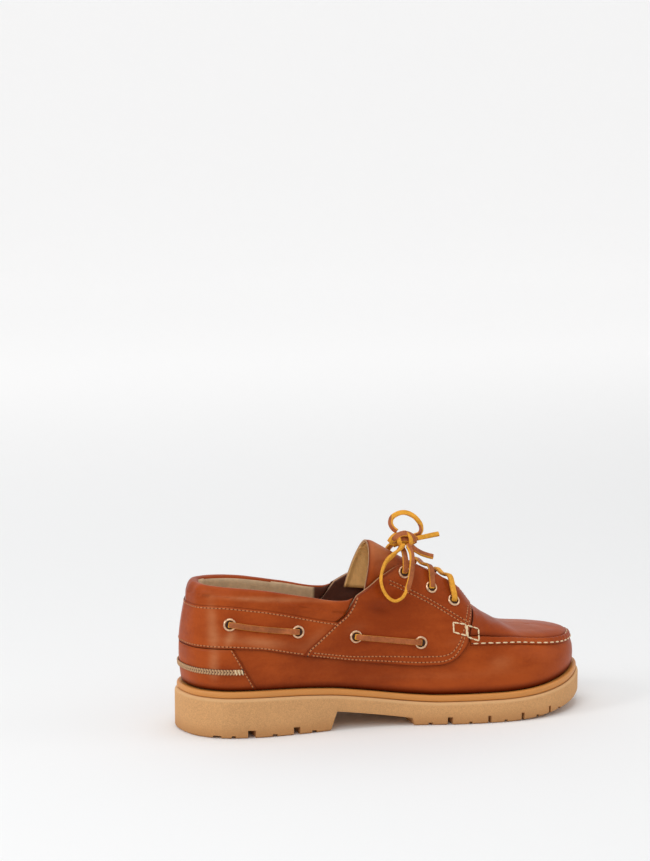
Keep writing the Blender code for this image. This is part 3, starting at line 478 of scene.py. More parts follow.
def close_rib(k):
    """The four handles of the rib with a number: foot, lower and upper handle, and crest."""
    if k not in RIB_CACHE:
        q = k * RIB_STEP
        foot_xy, out_xy = inset_outline(q, feather(q)), outline(q)[1]
        out = Vector((out_xy.x, out_xy.y, 0.0))
        foot = Vector((foot_xy.x, foot_xy.y, welt_top(foot_xy.x) + GAP))
        top = crest(q)
        shape = bend(q)
        rise = top.z - foot.z
        away = Vector((foot.x - top.x, foot.y - top.y, 0.0))
        low = foot + out * shape.lean * COLLAR_WIDTH + Vector((0, 0, shape.lift * rise))
        fall = Vector((0, 0, shape.fall * rise))
        high = top + away * shape.reach + out * shape.outset * COLLAR_WIDTH - fall
        RIB_CACHE[k] = (foot, low, high, top)
    return RIB_CACHE[k]


def skin(q, v):
    """Outer face of the upper: place q round the loop, height v from the welt, 0, to the crest, 1."""
    foot, low, high, top = rib(q)
    u = 1.0 - v
    return foot * u ** 3 + low * (3 * v * u * u) + high * (3 * v * v * u) + top * v ** 3


def skin_normal(q, v):
    """Outward direction of the upper's outer face."""
    q_step, v_step = 0.002, 0.01
    v = min(max(v, v_step), 1.0 - v_step)
    along = skin(q + q_step, v) - skin(q - q_step, v)
    up = skin(q, v + v_step) - skin(q, v - v_step)
    return along.cross(up).normalized()


def height_on_rib(q, z):
    """Height v at which the rib at q reaches z."""
    low, high = 0.0, 1.0
    for _ in range(24):
        middle = (low + high) / 2
        if skin(q, middle).z < z:
            low = middle
        else:
            high = middle
    return (low + high) / 2


def drawn_in(share):
    """Place for a share of the way along the side, closer together at the heel and the toe."""
    even = 0.55
    return even * share + (1 - even) * (1 - math.cos(math.pi * share)) / 2


def around_place(share):
    """Place round the loop for a share of the way round, closer together at the heel and the toe."""
    return drawn_in(2 * share) if share <= 0.5 else 2.0 - drawn_in(2 - 2 * share)


def place_at(x):
    """Place along the side where the sole's outline is x from its middle."""
    return smooth_table([row.along * SOLE_LENGTH for row in SOLE_PLAN], PLACES, x)


# Lines on the side of the upper, as heights above the floor at places along the length. Both columns are
# shares: of the sole length from its middle, and of the collar rise above the welt at the heel.
QUARTER_LINE = [(-0.50, 0.405), (-0.42, 0.408), (-0.34, 0.388), (-0.25, 0.315), (-0.17, 0.250),
                (-0.08, 0.185), (0.00, 0.140), (0.06, 0.120), (0.10, 0.123), (0.125, 0.150),
                (0.148, 0.215), (0.17, 0.330)]
COLLAR_LINE = [(-0.50, 0.790), (-0.42, 0.800), (-0.34, 0.765), (-0.27, 0.710), (-0.22, 0.660),
               (-0.17, 0.610), (-0.12, 0.570)]

# Lines across the side, as places along the length at heights: same shares
DIAGONAL_LINE = [(0.33, -0.230), (0.58, -0.148), (0.67, -0.118), (0.79, -0.100), (1.00, -0.080)]
COUNTER_LINE = [(0.00, -0.340), (0.41, -0.394)]
SADDLE_FRONT = [(0.14, 0.155), (0.20, 0.163), (0.38, 0.172), (0.48, 0.180), (0.57, 0.190), (0.65, 0.198),
                (0.69, 0.193), (0.73, 0.184), (0.80, 0.170), (1.00, 0.150)]

# Raised seam round the toe, as heights at places along the length: same shares
SEAM_LINE = [(0.17, 0.362), (0.203, 0.349), (0.23, 0.336), (0.28, 0.309), (0.333, 0.270), (0.397, 0.246),
             (0.437, 0.236), (0.50, 0.232)]


def line_height(line, x):
    share = smooth_table([row[0] for row in line], [row[1] for row in line], x / SOLE_LENGTH)
    return HEEL_STACK + share * COLLAR_RISE


def line_x(line, z):
    share = (z - HEEL_STACK) / COLLAR_RISE
    return smooth_table([row[0] for row in line], [row[1] for row in line], share) * SOLE_LENGTH


def loop_place(side, place):
    """Place round the loop of a place along one side: -1 is the outer side and 1 the inner."""
    return place if side < 0 else -place


def on_line(side, line, low, high, share):
    """Place along the side where the rib point a share of the way from low to high meets a line."""
    start_share, pace = 0.5, 0.6
    place = place_at(line_x(line, HEEL_STACK + start_share * COLLAR_RISE))
    for _ in range(30):
        q = loop_place(side, place)
        point = skin(q, mix(low(q), high(q), share))
        place += pace * (line_x(line, point.z) - point.x) / SOLE_LENGTH
        place = min(0.999, max(0.001, place))
    return place


def line_ends(line, low, high, rows, shift=0.0):
    """Places where a line across the side ends each row of a panel, by side: -1 is the outer, 1 the inner."""
    shares = even_shares(rows)
    return {side: [on_line(side, line, low, high, share) + shift for share in shares] for side in (-1, 1)}


# Heights found so far, by their number round the loop and their line, and the step from each to the next
HEIGHT_CACHE = {}
HEIGHT_STEP = 0.0025


def meet_height(q, line):
    """Height v at which the rib at q crosses a line of heights."""
    place = q % 2.0 / HEIGHT_STEP
    k = math.floor(place)
    for n in (k, k + 1):
        if (n, id(line)) not in HEIGHT_CACHE:
            HEIGHT_CACHE[n, id(line)] = found_height(n * HEIGHT_STEP, line)
    return mix(HEIGHT_CACHE[k, id(line)], HEIGHT_CACHE[k + 1, id(line)], place - k)


def found_height(q, line):
    """Height v at which the rib at q crosses a line of heights, found step by step."""
    v, pace = 0.4, 0.7
    for _ in range(20):
        v = mix(v, height_on_rib(q, line_height(line, skin(q, v).x)), pace)
    return v


def full_height(q):
    return 1.0


def quarter_foot(q):
    return meet_height(q, QUARTER_LINE)


def collar_line_height(q):
    return meet_height(q, COLLAR_LINE)


def collar_foot(q):
    """Top of the wall: under the padded collar, and in front of its slanted end the opening's edge."""
    def ahead(v):
        point = skin(q, v)
        return point.x - line_x(DIAGONAL_LINE, point.z)

    low, high = collar_line_height(q), 1.0
    if ahead(low) <= 0.0:
        return low
    if ahead(high) >= 0.0:
        return high
    for _ in range(24):
        middle = (low + high) / 2
        if ahead(middle) > 0.0:
            low = middle
        else:
            high = middle
    return low


# Grooves across the tread and nicks in its side: place along the length and width, as shares of the sole
# length. Depths and the run of a nick from the side are metres.
TREAD_DEPTH = 0.0055
NICK_DEPTH = 0.0020
NICK_RUN = 0.0100
SIDE_GROOVES = [(-0.357, 0.019), (-0.250, 0.016), (0.117, 0.013), (0.210, 0.008), (0.293, 0.008),
                (0.368, 0.006)]
SIDE_NICKS = [(-0.433, 0.018), (-0.398, 0.010), (-0.303, 0.012), (-0.207, 0.012), (0.072, 0.011),
              (0.165, 0.008), (0.250, 0.008), (0.333, 0.008), (0.397, 0.008)]
ARCH_BACK, ARCH_FRONT = -0.167, 0.037
ARCH_BACK_HEIGHT, ARCH_FRONT_HEIGHT = 0.0135, 0.0056
BREAST_SLOPE = 0.0050
FRONT_SLOPE = 0.0020
TREAD_EDGE = 0.0016
SOLE_BEAD_DEPTH = 0.0010
BELOW_FLOOR = -0.0100
FOOTBED_SET_IN = 0.0012


def side_reach(x, side):
    """Where one side of the sole's outline is across the sole, at a place along it."""
    return outline(loop_place(side, place_at(x)))[0].y


TongueRow = namedtuple("TongueRow", "along rise half drop sweep")

# Sections of the tongue from its top to its root: ridge place along the length and height as a share of
# the instep rise above the ball's stack, half width and drop as shares of the collar width, and the
# setback of the sides as a share of the sole length.
TONGUE_ROWS = [TongueRow(*row) for row in (
    (-0.037, 1.197, 0.385, 0.700, -0.037),
    (0.000, 1.134, 0.335, 0.620, -0.034),
    (0.050, 1.033, 0.287, 0.440, -0.027),
    (0.103, 0.942, 0.246, 0.390, -0.017),
    (0.150, 0.852, 0.205, 0.360, -0.007),
    (0.178, 0.690, 0.175, 0.290, 0.000),
    (0.200, 0.600, 0.150, 0.230, 0.000),
    (0.233, 0.533, 0.130, 0.200, 0.000),
)]
TONGUE_TURN = math.radians(84)


def tongue_row(share):
    """Place of the ridge along the length and the section there, at a share of the way from top to root."""
    knots = [row.along for row in TONGUE_ROWS]
    along = mix(knots[0], knots[-1], share)
    values = (smooth_table(knots, [row[k] for row in TONGUE_ROWS], along) for k in range(1, 5))
    return TongueRow(along, *values)


def tongue_face(share, turn):
    """Outer face of the tongue: share from top to root, turn from the outer side, -1, to the inner, 1."""
    row = tongue_row(share)
    angle = turn * TONGUE_TURN
    fall = 1 - math.cos(angle)
    return Vector(((row.along + row.sweep * fall) * SOLE_LENGTH,
                   math.sin(angle) / math.sin(TONGUE_TURN) * row.half * COLLAR_WIDTH,
                   BALL_STACK + row.rise * INSTEP_RISE - row.drop * fall * COLLAR_WIDTH))


def tongue_height(x, y):
    """Height of the tongue's outer face above a spot of the plan."""
    length = (TONGUE_ROWS[-1].along - TONGUE_ROWS[0].along) * SOLE_LENGTH
    share, turn = 0.5, 0.0
    for _ in range(30):
        point = tongue_face(share, turn)
        share = min(1.0, max(0.0, share + 0.7 * (x - point.x) / length))
        turn = min(1.0, max(-1.0, turn + 0.7 * (y - point.y) / (tongue_row(share).half * COLLAR_WIDTH)))
    return tongue_face(share, turn).z


# Middle of each eyelet on a side: place along the length and height above the floor, as shares of the
# sole length and of the instep rise
SIDE_EYELETS = [(-0.398, 0.645), (-0.2415, 0.565), (-0.100, 0.490), (0.057, 0.412)]
THROAT_EYELETS = [(0.148, 0.697), (0.096, 0.808), (0.0315, 0.943)]


def seat_on_skin(side, along, rise):
    """Place round the loop and height of the spot of the skin with this x and z."""
    x, z = along * SOLE_LENGTH, BALL_STACK + rise * INSTEP_RISE
    place = place_at(x)
    v = 0.5
    for _ in range(20):
        q = loop_place(side, place)
        v = height_on_rib(q, z)
        place += 0.8 * (x - skin(q, v).x) / SOLE_LENGTH
    return loop_place(side, place), v


def smooth_path(points):
    """Smooth curve through a route's points: a function of the share of the way along it, and its length."""
    route = [Vector(point) for point in points]
    knots = [0.0]
    for a, b in zip(route, route[1:]):
        knots.append(knots[-1] + (b - a).length)

    def slope(k):
        if k == 0:
            return (route[1] - route[0]) / knots[1]
        if k == len(route) - 1:
            return (route[-1] - route[-2]) / (knots[-1] - knots[-2])
        before, after = knots[k] - knots[k - 1], knots[k + 1] - knots[k]
        step_in, step_out = (route[k] - route[k - 1]) / before, (route[k + 1] - route[k]) / after
        return (step_in * after + step_out * before) / (before + after)

    def point(share):
        i, t = segment(knots, knots[-1] * share)
        return hermite(route[i], route[i + 1], slope(i), slope(i + 1), knots[i + 1] - knots[i], t)

    return point, knots[-1]


# Bow in metres, as the solids have it
BOW_LOOP_OUTER = [
    (0.0120, -0.0122, 0.1230), (0.0080, -0.0152, 0.1202), (0.0020, -0.0190, 0.1172),
    (-0.0040, -0.0230, 0.1140), (-0.0080, -0.0265, 0.1088), (-0.0100, -0.0290, 0.1020),
    (-0.0092, -0.0312, 0.0960), (-0.0060, -0.0328, 0.0905), (-0.0010, -0.0338, 0.0876),
    (0.0036, -0.0336, 0.0892), (0.0076, -0.0322, 0.0940), (0.0112, -0.0304, 0.1020),
    (0.0136, -0.0268, 0.1100), (0.0158, -0.0196, 0.1172), (0.0166, -0.0117, 0.1222),
]
BOW_END_OUTER = [
    (0.0198, -0.0098, 0.1201), (0.0224, -0.0110, 0.1180), (0.0258, -0.0118, 0.1160),
    (0.0300, -0.0124, 0.1144), (0.0340, -0.0130, 0.1132),
]
BOW_LOOP_INNER = [
    (0.0098, -0.0042, 0.1312), (0.0074, -0.0025, 0.1335), (0.0064, -0.0005, 0.1366),
    (0.0078, 0.0015, 0.1398), (0.0120, 0.0030, 0.1422), (0.0172, 0.0038, 0.1431),
    (0.0225, 0.0038, 0.1416), (0.0270, 0.0030, 0.1382), (0.0296, 0.0016, 0.1340),
    (0.0296, 0.0000, 0.1304), (0.0276, -0.0010, 0.1278), (0.0240, -0.0016, 0.1268),
]
BOW_END_INNER = [
    (0.0232, -0.0058, 0.1257), (0.0270, -0.0060, 0.1262), (0.0315, -0.0062, 0.1269),
    (0.0360, -0.0063, 0.1276), (0.0405, -0.0064, 0.1282),
]
TOP_CROWN = (0.0130, -0.0050, 0.1204)

# Towards the viewer, the viewer's right, and up
VIEW_SIDE = Vector((-0.304, -0.919, 0.251))
VIEW_RIGHT = Vector((0.949, -0.314, 0.0))
WORLD_UP = Vector((0.0, 0.0, 1.0))


# Soft troughs and ridges of the leather: side, 0 for both, x and z of the middle, half length and half
# width, turn of the length from the horizontal, and height
Fold = namedtuple("Fold", "side x z reach width turn rise")
FOLDS = [Fold(*row) for row in (
    (-1, -0.010, 0.0810, 0.0120, 0.0040, -0.20, -0.0018),
    (-1, -0.006, 0.0900, 0.0120, 0.0055, 0.40, 0.0010),
    (-1, -0.093, 0.0660, 0.0240, 0.0050, -0.10, 0.0006),
    (-1, -0.100, 0.0745, 0.0200, 0.0040, -0.14, -0.0004),
    (-1, -0.128, 0.0640, 0.0050, 0.0180, 0.00, 0.0005),
    (-1, 0.012, 0.0640, 0.0220, 0.0060, -0.20, 0.0006),
    (-1, 0.030, 0.0400, 0.0300, 0.0070, 0.00, 0.0005),
    (-1, 0.078, 0.0410, 0.0200, 0.0070, 0.30, 0.0004),
    (1, -0.010, 0.0820, 0.0150, 0.0050, 0.40, -0.0008),
    (1, -0.095, 0.0670, 0.0230, 0.0050, -0.10, 0.0005),
    (1, 0.015, 0.0640, 0.0220, 0.0060, -0.20, 0.0005),
    (0, 0.074, 0.0690, 0.0060, 0.0060, 0.30, -0.0005),
    (0, 0.087, 0.0640, 0.0070, 0.0060, 0.30, 0.0004),
)]

# Paler leather: pulled-up patches, and painted highlights such as the streaks along the collar's rim, the light bands
# down the heel and the lit top of the tongue: side, place, half length and half width, turn and strength
PALE_AND_LIT_PATCHES = [Fold(*row) for row in (
    (-1, -0.100, 0.0655, 0.0260, 0.0045, -0.16, 0.55),
    (-1, -0.120, 0.0700, 0.0030, 0.0100, -0.45, 0.45),
    (-1, -0.060, 0.0660, 0.0160, 0.0050, 0.60, 0.30),
    (-1, -0.098, 0.0945, 0.0300, 0.0022, -0.07, 0.60),
    (-1, -0.048, 0.0900, 0.0250, 0.0018, -0.08, 0.30),
    (-1, -0.131, 0.0750, 0.0040, 0.0220, 0.00, 0.55),
    (-1, -0.131, 0.0480, 0.0040, 0.0100, 0.00, 0.40),
    (0, -0.002, 0.1220, 0.0200, 0.0180, 0.00, 0.60),
    (-1, 0.030, 0.0340, 0.0700, 0.0040, 0.00, 0.22),
    (-1, 0.075, 0.0420, 0.0120, 0.0060, 0.00, 0.35),
    (-1, -0.030, 0.0700, 0.0100, 0.0050, 0.20, 0.25),
    (-1, 0.045, 0.0580, 0.0140, 0.0040, 0.10, 0.25),
    (1, -0.090, 0.0650, 0.0260, 0.0050, -0.16, 0.40),
    (1, 0.020, 0.0620, 0.0200, 0.0050, 0.00, 0.25),
    (0, 0.104, 0.0560, 0.0180, 0.0080, 0.00, 0.25),
)]

# Darker patches of the leather, such as the painted shadow of the bow's loop on the saddle: side, place, half length
# and half width, turn and strength
DARK_AND_SHADED_PATCHES = [Fold(*row) for row in (
    (-1, -0.010, 0.0800, 0.0110, 0.0030, -0.25, 0.50),
    (-1, -0.052, 0.0560, 0.0200, 0.0060, 0.50, 0.25),
    (-1, 0.018, 0.0990, 0.0060, 0.0080, 0.00, 0.35),
    (1, -0.010, 0.0800, 0.0120, 0.0040, 0.30, 0.30),
)]


def bump_of(rows, side, point):
    """Sum of the soft forms of a table at a point of one side."""
    total = 0.0
    for row in rows:
        if row.side in (0, side):
            x, z = point.x - row.x, point.z - row.z
            across = (x * math.cos(row.turn) + z * math.sin(row.turn)) / row.reach
            up = (z * math.cos(row.turn) - x * math.sin(row.turn)) / row.width
            total += row.rise * math.exp(-across * across - up * up)
    return total


def face(q, v, lift):
    """A point that stands off the upper's outer face, folds of the leather included."""
    point = skin(q, v)
    return point + skin_normal(q, v) * (lift + bump_of(FOLDS, side_of(q), point))


def rib_length(q):
    """Length of a rib, measured over its middle."""
    foot, middle, top = skin(q, 0.0), skin(q, 0.5), skin(q, 1.0)
    return max(0.001, (middle - foot).length + (top - middle).length)


def edged_shares(count, reach, first=0.0009, last=0.0009):
    """Shares along a panel's side of a length, closer together over the round of its first and last edge."""
    round_marks = (0.0, 0.10, 0.32, 0.62, 1.0)
    start = [mark * first / reach for mark in round_marks] if first else [0.0]
    stop = [1 - mark * last / reach for mark in reversed(round_marks)] if last else [1.0]
    low, high = start[-1], stop[0]
    return start + [mix(low, high, k / count) for k in range(1, count)] + stop


def rounded(distance, radius):
    """Height share of a rounded edge at a distance from it."""
    inside = 1 - min(1.0, max(0.0, distance) / radius)
    return math.sqrt(max(0.0, 1 - inside * inside))


# Finishes

class Wire:
    """A shader socket that adds its maths nodes when it is used in an expression."""

    def __init__(self, finish, socket):
        self.finish = finish
        self.socket = socket

    def maths(self, operation, first, second):
        return self.finish.node("ShaderNodeMath", {"operation": operation}, {0: first, 1: second})

    def __add__(self, other):
        return self.maths("ADD", self, other)

    def __sub__(self, other):
        return self.maths("SUBTRACT", self, other)

    def __rsub__(self, other):
        return self.maths("SUBTRACT", other, self)

    def __mul__(self, other):
        return self.maths("MULTIPLY", self, other)

    __radd__ = __add__
    __rmul__ = __mul__

    def steps(self, low, high):
        """Smooth share of the way from low to high."""
        return self.finish.node("ShaderNodeMapRange", {"interpolation_type": "SMOOTHSTEP"},
                                {"Value": self, "From Min": low, "From Max": high})


class Finish:
    """A procedural material on the principled shader."""

    def __init__(self, name, **constants):
        self.material = bpy.data.materials.new(name)
        self.material.use_nodes = True
        self.tree = self.material.node_tree
        self.shader = self.tree.nodes["Principled BSDF"]
        for socket, value in constants.items():
            self.shader.inputs[socket.replace("_", " ")].default_value = value

    def node(self, kind, settings=None, inputs=None, output=0):
        made = self.tree.nodes.new(kind)
        for name, value in (settings or {}).items():
            setattr(made, name, value)
        for key, value in (inputs or {}).items():
            if isinstance(value, Wire):
                self.tree.links.new(value.socket, made.inputs[key])
            else:
                made.inputs[key].default_value = value
        return Wire(self, made.outputs[output])

    def feed(self, socket, wire):
        self.tree.links.new(wire.socket, self.shader.inputs[socket])

    def place(self):
        return self.node("ShaderNodeTexCoord", output="Object")

    def stretched(self, scale):
        return self.node("ShaderNodeMapping", {}, {"Vector": self.place(), "Scale": scale})

    def part_of_place(self, axis):
        return self.node("ShaderNodeSeparateXYZ", {}, {0: self.place()}, output=axis)

    def mark(self, name):
        return self.node("ShaderNodeAttribute", {"attribute_name": name}, output="Fac")

    def cloud(self, scale, detail=3.0, roughness=0.55, where=None):
        """Noise with so many cells to the metre."""
        return self.node("ShaderNodeTexNoise", {}, {"Vector": where or self.place(), "Scale": scale,
                                                    "Detail": detail, "Roughness": roughness})

    def cells(self, scale):
        """Small cells, so many to the metre."""
        return self.node("ShaderNodeTexVoronoi", {}, {"Vector": self.place(), "Scale": scale})

    def blend(self, first, second, share):
        """Mix of two colours."""
        return self.node("ShaderNodeMix", {"data_type": "RGBA"}, {0: share, 6: first, 7: second}, output=2)

    def relief(self, *layers):
        """Bump from pairs of a height and its depth in metres."""
        normal = None
        for height, depth in layers:
            inputs = {"Strength": 1.0, "Distance": depth, "Height": height}
            if normal:
                inputs["Normal"] = normal
            normal = self.node("ShaderNodeBump", {}, inputs)
        self.feed("Normal", normal)


def colour(values, shade=1.0):
    return (values[0] * shade, values[1] * shade, values[2] * shade, 1.0)


def waxed_leather(name, tint):
    """Smooth waxed leather: cloudy colour, darker where painted shade and darker tone are marked, paler where it is
    pulled up and where highlights are painted.
    """
    finish = Finish(name, Specular_IOR_Level=0.10)
    deep = colour((tint[0] * 0.56, tint[1] * 0.44, tint[2] * 0.36))
    light = colour((tint[0] * 1.18, tint[1] * 1.34, tint[2] * 1.60))
    dark = colour((tint[0] * 0.33, tint[1] * 0.22, tint[2] * 0.16))
    pale = colour((0.56, 0.235, 0.100))
    broad = finish.cloud(17.0, 2.0)
    streaks = finish.cloud(1.0, 4.0, 0.6, finish.stretched((60.0, 60.0, 150.0)))
    fine = finish.cloud(420.0, 3.0, 0.65)
    tone = finish.blend(deep, light, (broad * 0.62 + streaks * 0.26 + fine * 0.12).steps(0.36, 0.66))
    tone = finish.blend(colour(tint), tone, 0.62)
    # Paler where the leather is pulled up and where highlights are painted
    pulled_and_lit = finish.mark("pull") * (0.55 + streaks * 0.8)
    tone = finish.blend(tone, pale, pulled_and_lit.steps(0.04, 1.0) * 0.8)
    # Darker where shade is painted: near the sole, along seams, edges and creases, and in darker patches
    burnish = finish.mark("burnish") * (0.70 + broad * 0.55)
    tone = finish.blend(tone, dark, burnish.steps(0.0, 1.0))
    finish.feed("Base Color", tone)
    finish.feed("Roughness", 0.275 + streaks * 0.16 + fine * 0.08 + finish.mark("burnish") * 0.10)
    pores = finish.cells(1500.0)
    wrinkle = finish.cloud(230.0, 4.0, 0.6)
    finish.relief((pores, 0.000035), (wrinkle, 0.00016), (finish.cloud(45.0, 2.0), 0.0005))
    return finish.material


def edge_leather(name, tint):
    """Cut and inked edge of the leather."""
    finish = Finish(name)
    fibre = finish.cloud(900.0, 3.0, 0.7)
    finish.feed("Base Color", finish.blend(colour(tint, 0.55), colour(tint, 1.25), fibre))
    finish.feed("Roughness", 0.55 + fibre * 0.25)
    finish.relief((fibre, 0.00012))
    return finish.material


def lining_leather(name, tint, dark_tint):
    """Inside of the upper: pale lining round the heel, dark leather behind the fastening, its colour partly painted
    shade.
    """
    finish = Finish(name)
    ahead = finish.part_of_place("X")
    grain = finish.cloud(260.0, 4.0, 0.6)
    cloud = finish.cloud(40.0, 2.0)
    mottle = (grain * 0.5 + cloud * 0.5).steps(0.3, 0.7)
    pale = finish.blend(colour(tint, 0.78), colour(tint, 1.08), mottle)
    dark = finish.blend(colour(dark_tint, 0.7), colour(dark_tint, 1.5), grain)
    finish.feed("Base Color", finish.blend(pale, dark, ahead.steps(-0.044, -0.041)))
    finish.feed("Roughness", 0.52 + grain * 0.2)
    finish.relief((grain, 0.00020), (finish.cells(1400.0), 0.00003))
    return finish.material


def tongue_lining(name, tint):
    """Soft golden lining of the tongue, puckered along its seam."""
    finish = Finish(name)
    pucker = finish.cloud(1.0, 2.0, 0.5, finish.stretched((250.0, 700.0, 120.0)))
    grain = finish.cloud(700.0, 4.0, 0.65)
    high = finish.part_of_place("Z").steps(0.096, 0.126)
    cloud = finish.cloud(60.0, 2.0)
    mottle = (grain * 0.35 + cloud * 0.3 + pucker * 0.35).steps(0.3, 0.7)
    finish.feed("Base Color", finish.blend(colour(tint, 0.80), colour(tint, 1.0), mottle))
    finish.feed("Roughness", 0.62 + grain * 0.2)
    finish.relief((grain, 0.00010), (pucker * high, 0.0014), (pucker, 0.0003))
    return finish.material


def gum_rubber(name, tint):
    """Matt crepe-like side of the sole, with a painted highlight along its bead, and darker towards the bottom."""
    finish = Finish(name, Specular_IOR_Level=0.32)
    speck = finish.cloud(1500.0, 3.0, 0.7)
    grain = finish.cloud(620.0, 4.0, 0.7)
    cloud = finish.cloud(24.0, 2.0)
    mottle = (speck * 0.5 + grain * 0.3 + cloud * 0.2).steps(0.33, 0.67)
    tone = finish.blend(colour(tint, 0.80), colour(tint, 1.16), mottle)
    # Darker towards the bottom
    low = finish.part_of_place("Z").steps(0.012, 0.0)
    bottom_tone = colour((tint[0] * 0.72, tint[1] * 0.60, tint[2] * 0.48))
    tone = finish.blend(tone, bottom_tone, low * (0.35 + grain * 0.5))
    # Painted highlight along the bead
    tone = finish.blend(tone, colour((0.70, 0.42, 0.20)), finish.mark("bead") * 0.65)
    finish.feed("Base Color", tone)
    finish.feed("Roughness", 0.66 + grain * 0.22)
    finish.relief((speck, 0.00009), (grain, 0.00016))
    return finish.material


def welt_rubber(name, tint):
    """Smooth rounded lip of the sole."""
    finish = Finish(name)
    cloud = finish.cloud(35.0, 3.0)
    speck = finish.cloud(900.0, 3.0, 0.6)
    tone = finish.blend(colour(tint, 0.86), colour(tint, 1.12), cloud * 0.7 + speck * 0.3)
    # Painted shade in the crease under the leather
    tone = finish.blend(tone, colour((0.16, 0.055, 0.012)), finish.mark("burnish"))
    finish.feed("Base Color", tone)
    finish.feed("Roughness", 0.40 + cloud * 0.12)
    finish.relief((speck, 0.00004), (cloud, 0.0004))
    return finish.material


def thread(name, tint):
    """Waxed thread with a fine twist."""
    finish = Finish(name, Specular_IOR_Level=0.2)
    bands = {"Vector": finish.place(), "Scale": 700.0, "Distortion": 2.0, "Detail": 2.0}
    twist = finish.node("ShaderNodeTexWave", {"bands_direction": "DIAGONAL"}, bands, output="Fac")
    fuzz = finish.cloud(300.0, 3.0)
    tone = finish.blend(colour(tint, 0.66), colour(tint, 1.12), (twist * 0.5 + fuzz * 0.5).steps(0.2, 0.75))
    finish.feed("Base Color", tone)
    finish.feed("Roughness", 0.55 + fuzz * 0.2)
    finish.relief((twist, 0.00006))
    return finish.material


def needle_hole(name, tint):
    """Painted shade in a hole: a rough dark surface for the shadowed inside of needle holes and eyelets."""
    finish = Finish(name)
    fuzz = finish.cloud(800.0, 2.0)
    finish.feed("Base Color", finish.blend(colour(tint, 0.5), colour(tint, 1.3), fuzz))
    finish.feed("Roughness", 0.7 + fuzz * 0.2)
    return finish.material


def old_brass(name, tint):
    """Pale brass, browned in its pits."""
    finish = Finish(name)
    cloud = finish.cloud(420.0, 4.0, 0.6)
    tarnish = cloud.steps(0.48, 0.72)
    finish.feed("Base Color", finish.blend(colour(tint), colour((0.26, 0.13, 0.045)), tarnish * 0.7))
    finish.feed("Roughness", 0.30 + tarnish * 0.30)
    finish.feed("Metallic", 1.0 - tarnish * 0.25)
    finish.relief((cloud, 0.00005))
    return finish.material


def lace_leather(name, grain_tint, flesh_tint):
    """Rawhide lace: brown grain side, golden flesh side and edges."""
    finish = Finish(name, Specular_IOR_Level=0.2)
    fibre = finish.cloud(560.0, 4.0, 0.7)
    cloud = finish.cloud(90.0, 3.0)
    worn = (fibre * 0.4 + cloud * 0.6).steps(0.3, 0.7)
    brown = finish.blend(colour(grain_tint, 0.62), colour(grain_tint, 1.25), worn)
    hairy = (fibre * 0.6 + cloud * 0.4).steps(0.3, 0.7)
    gold = finish.blend(colour(flesh_tint, 0.70), colour(flesh_tint, 1.15), hairy)
    grain_side = (finish.mark("grain") + (fibre - 0.5) * 0.18).steps(0.42, 0.58)
    finish.feed("Base Color", finish.blend(gold, brown, grain_side))
    finish.feed("Roughness", 0.62 - grain_side * 0.17 + fibre * 0.12)
    finish.relief((fibre, 0.00018), (cloud, 0.0004))
    return finish.material


def studio_paper(name, tint):
    """Pale paper, lit up behind the shoe, where the lamps reach it less."""
    finish = Finish(name, Roughness=0.95, Specular_IOR_Level=0.0, Emission_Strength=1.0)
    cloud = finish.cloud(2.0, 2.0)
    finish.feed("Base Color", finish.blend(colour(tint, 0.995), colour(tint), cloud))
    far = finish.part_of_place("Y").steps(0.2, 2.4)
    black, glow = colour((0.0, 0.0, 0.0)), colour((0.295, 0.29, 0.288))
    finish.feed("Emission Color", finish.blend(black, glow, far))
    return finish.material


# Each finish: what makes it, the name of its material and the user's colours for it
MAKERS = {
    "leather": (waxed_leather, "waxed_leather", "leather"),
    "edge": (edge_leather, "cut_edge", "edge"),
    "raw_edge": (edge_leather, "raw_edge", "raw_edge"),
    "lining": (lining_leather, "lining_leather", "lining", "inner_leather"),
    "tongue_lining": (tongue_lining, "tongue_lining", "tongue_lining"),
    "gum": (gum_rubber, "gum_rubber", "sole"),
    "welt": (welt_rubber, "welt_rubber", "welt"),
    "seam_thread": (thread, "seam_thread", "seam_thread"),
    "toe_thread": (thread, "toe_thread", "toe_thread"),
    "heel_thread": (thread, "heel_thread", "heel_thread"),
    "hole": (needle_hole, "needle_hole", "hole"),
    "brass": (old_brass, "old_brass", "brass"),
    "lace": (lace_leather, "lace_leather", "lace_grain", "lace_flesh"),
    "paper": (studio_paper, "studio_paper", "backdrop"),
}
# Materials made so far
FINISHES = {}


def finish_of(name):
    """The finish of a name, made when it is first asked for."""
    if name not in FINISHES:
        make, material, *tints = MAKERS[name]
        colours = bpy.context.scene.shoe_colours
        FINISHES[name] = make(material, *(getattr(colours, tint) for tint in tints))
    return FINISHES[name]


# Making pieces

# Vertices closer than this are one
MERGE_DISTANCE = 0.00001


def mesh_of(name, bm):
    """Mesh of a finished bmesh."""
    data = bpy.data.meshes.new(name)
    bm.to_mesh(data)
    bm.free()
    return data


def object_of(name, bm, finishes=()):
    """Object of a finished bmesh, in the scene, with its finishes."""
    item = bpy.data.objects.new(name, mesh_of(name, bm))
    bpy.context.scene.collection.objects.link(item)
    for finish in finishes:
        item.data.materials.append(finish_of(finish))
    return item


def add_to(whole, bm):
    """Adds a finished bmesh to another."""
    share = mesh_of("share", bm)
    whole.from_mesh(share)
    bpy.data.meshes.remove(share)


def close_ends(bm):
    """Fills the open ends of a shape and turns its faces outward."""
    rims = [edge for edge in bm.edges if edge.is_boundary]
    bmesh.ops.holes_fill(bm, edges=rims, sides=0)
    bmesh.ops.recalc_face_normals(bm, faces=bm.faces[:])


def second_finish(made):
    """Gives a shape that was just made the second finish of its piece."""
    for one in {f for vert in made["verts"] for f in vert.link_faces}:
        one.material_index = 1


def piece(name, bm, finishes, replaced, slot):
    """Object of a finished bmesh, riding on the shoe and standing for its solids."""
    item = object_of(name, bm, finishes)
    item.data.shade_smooth()
    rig.ride(item, BODY)
    if replaced:
        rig.replaces(item, *replaced)
    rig.slot(item, slot)
    return item


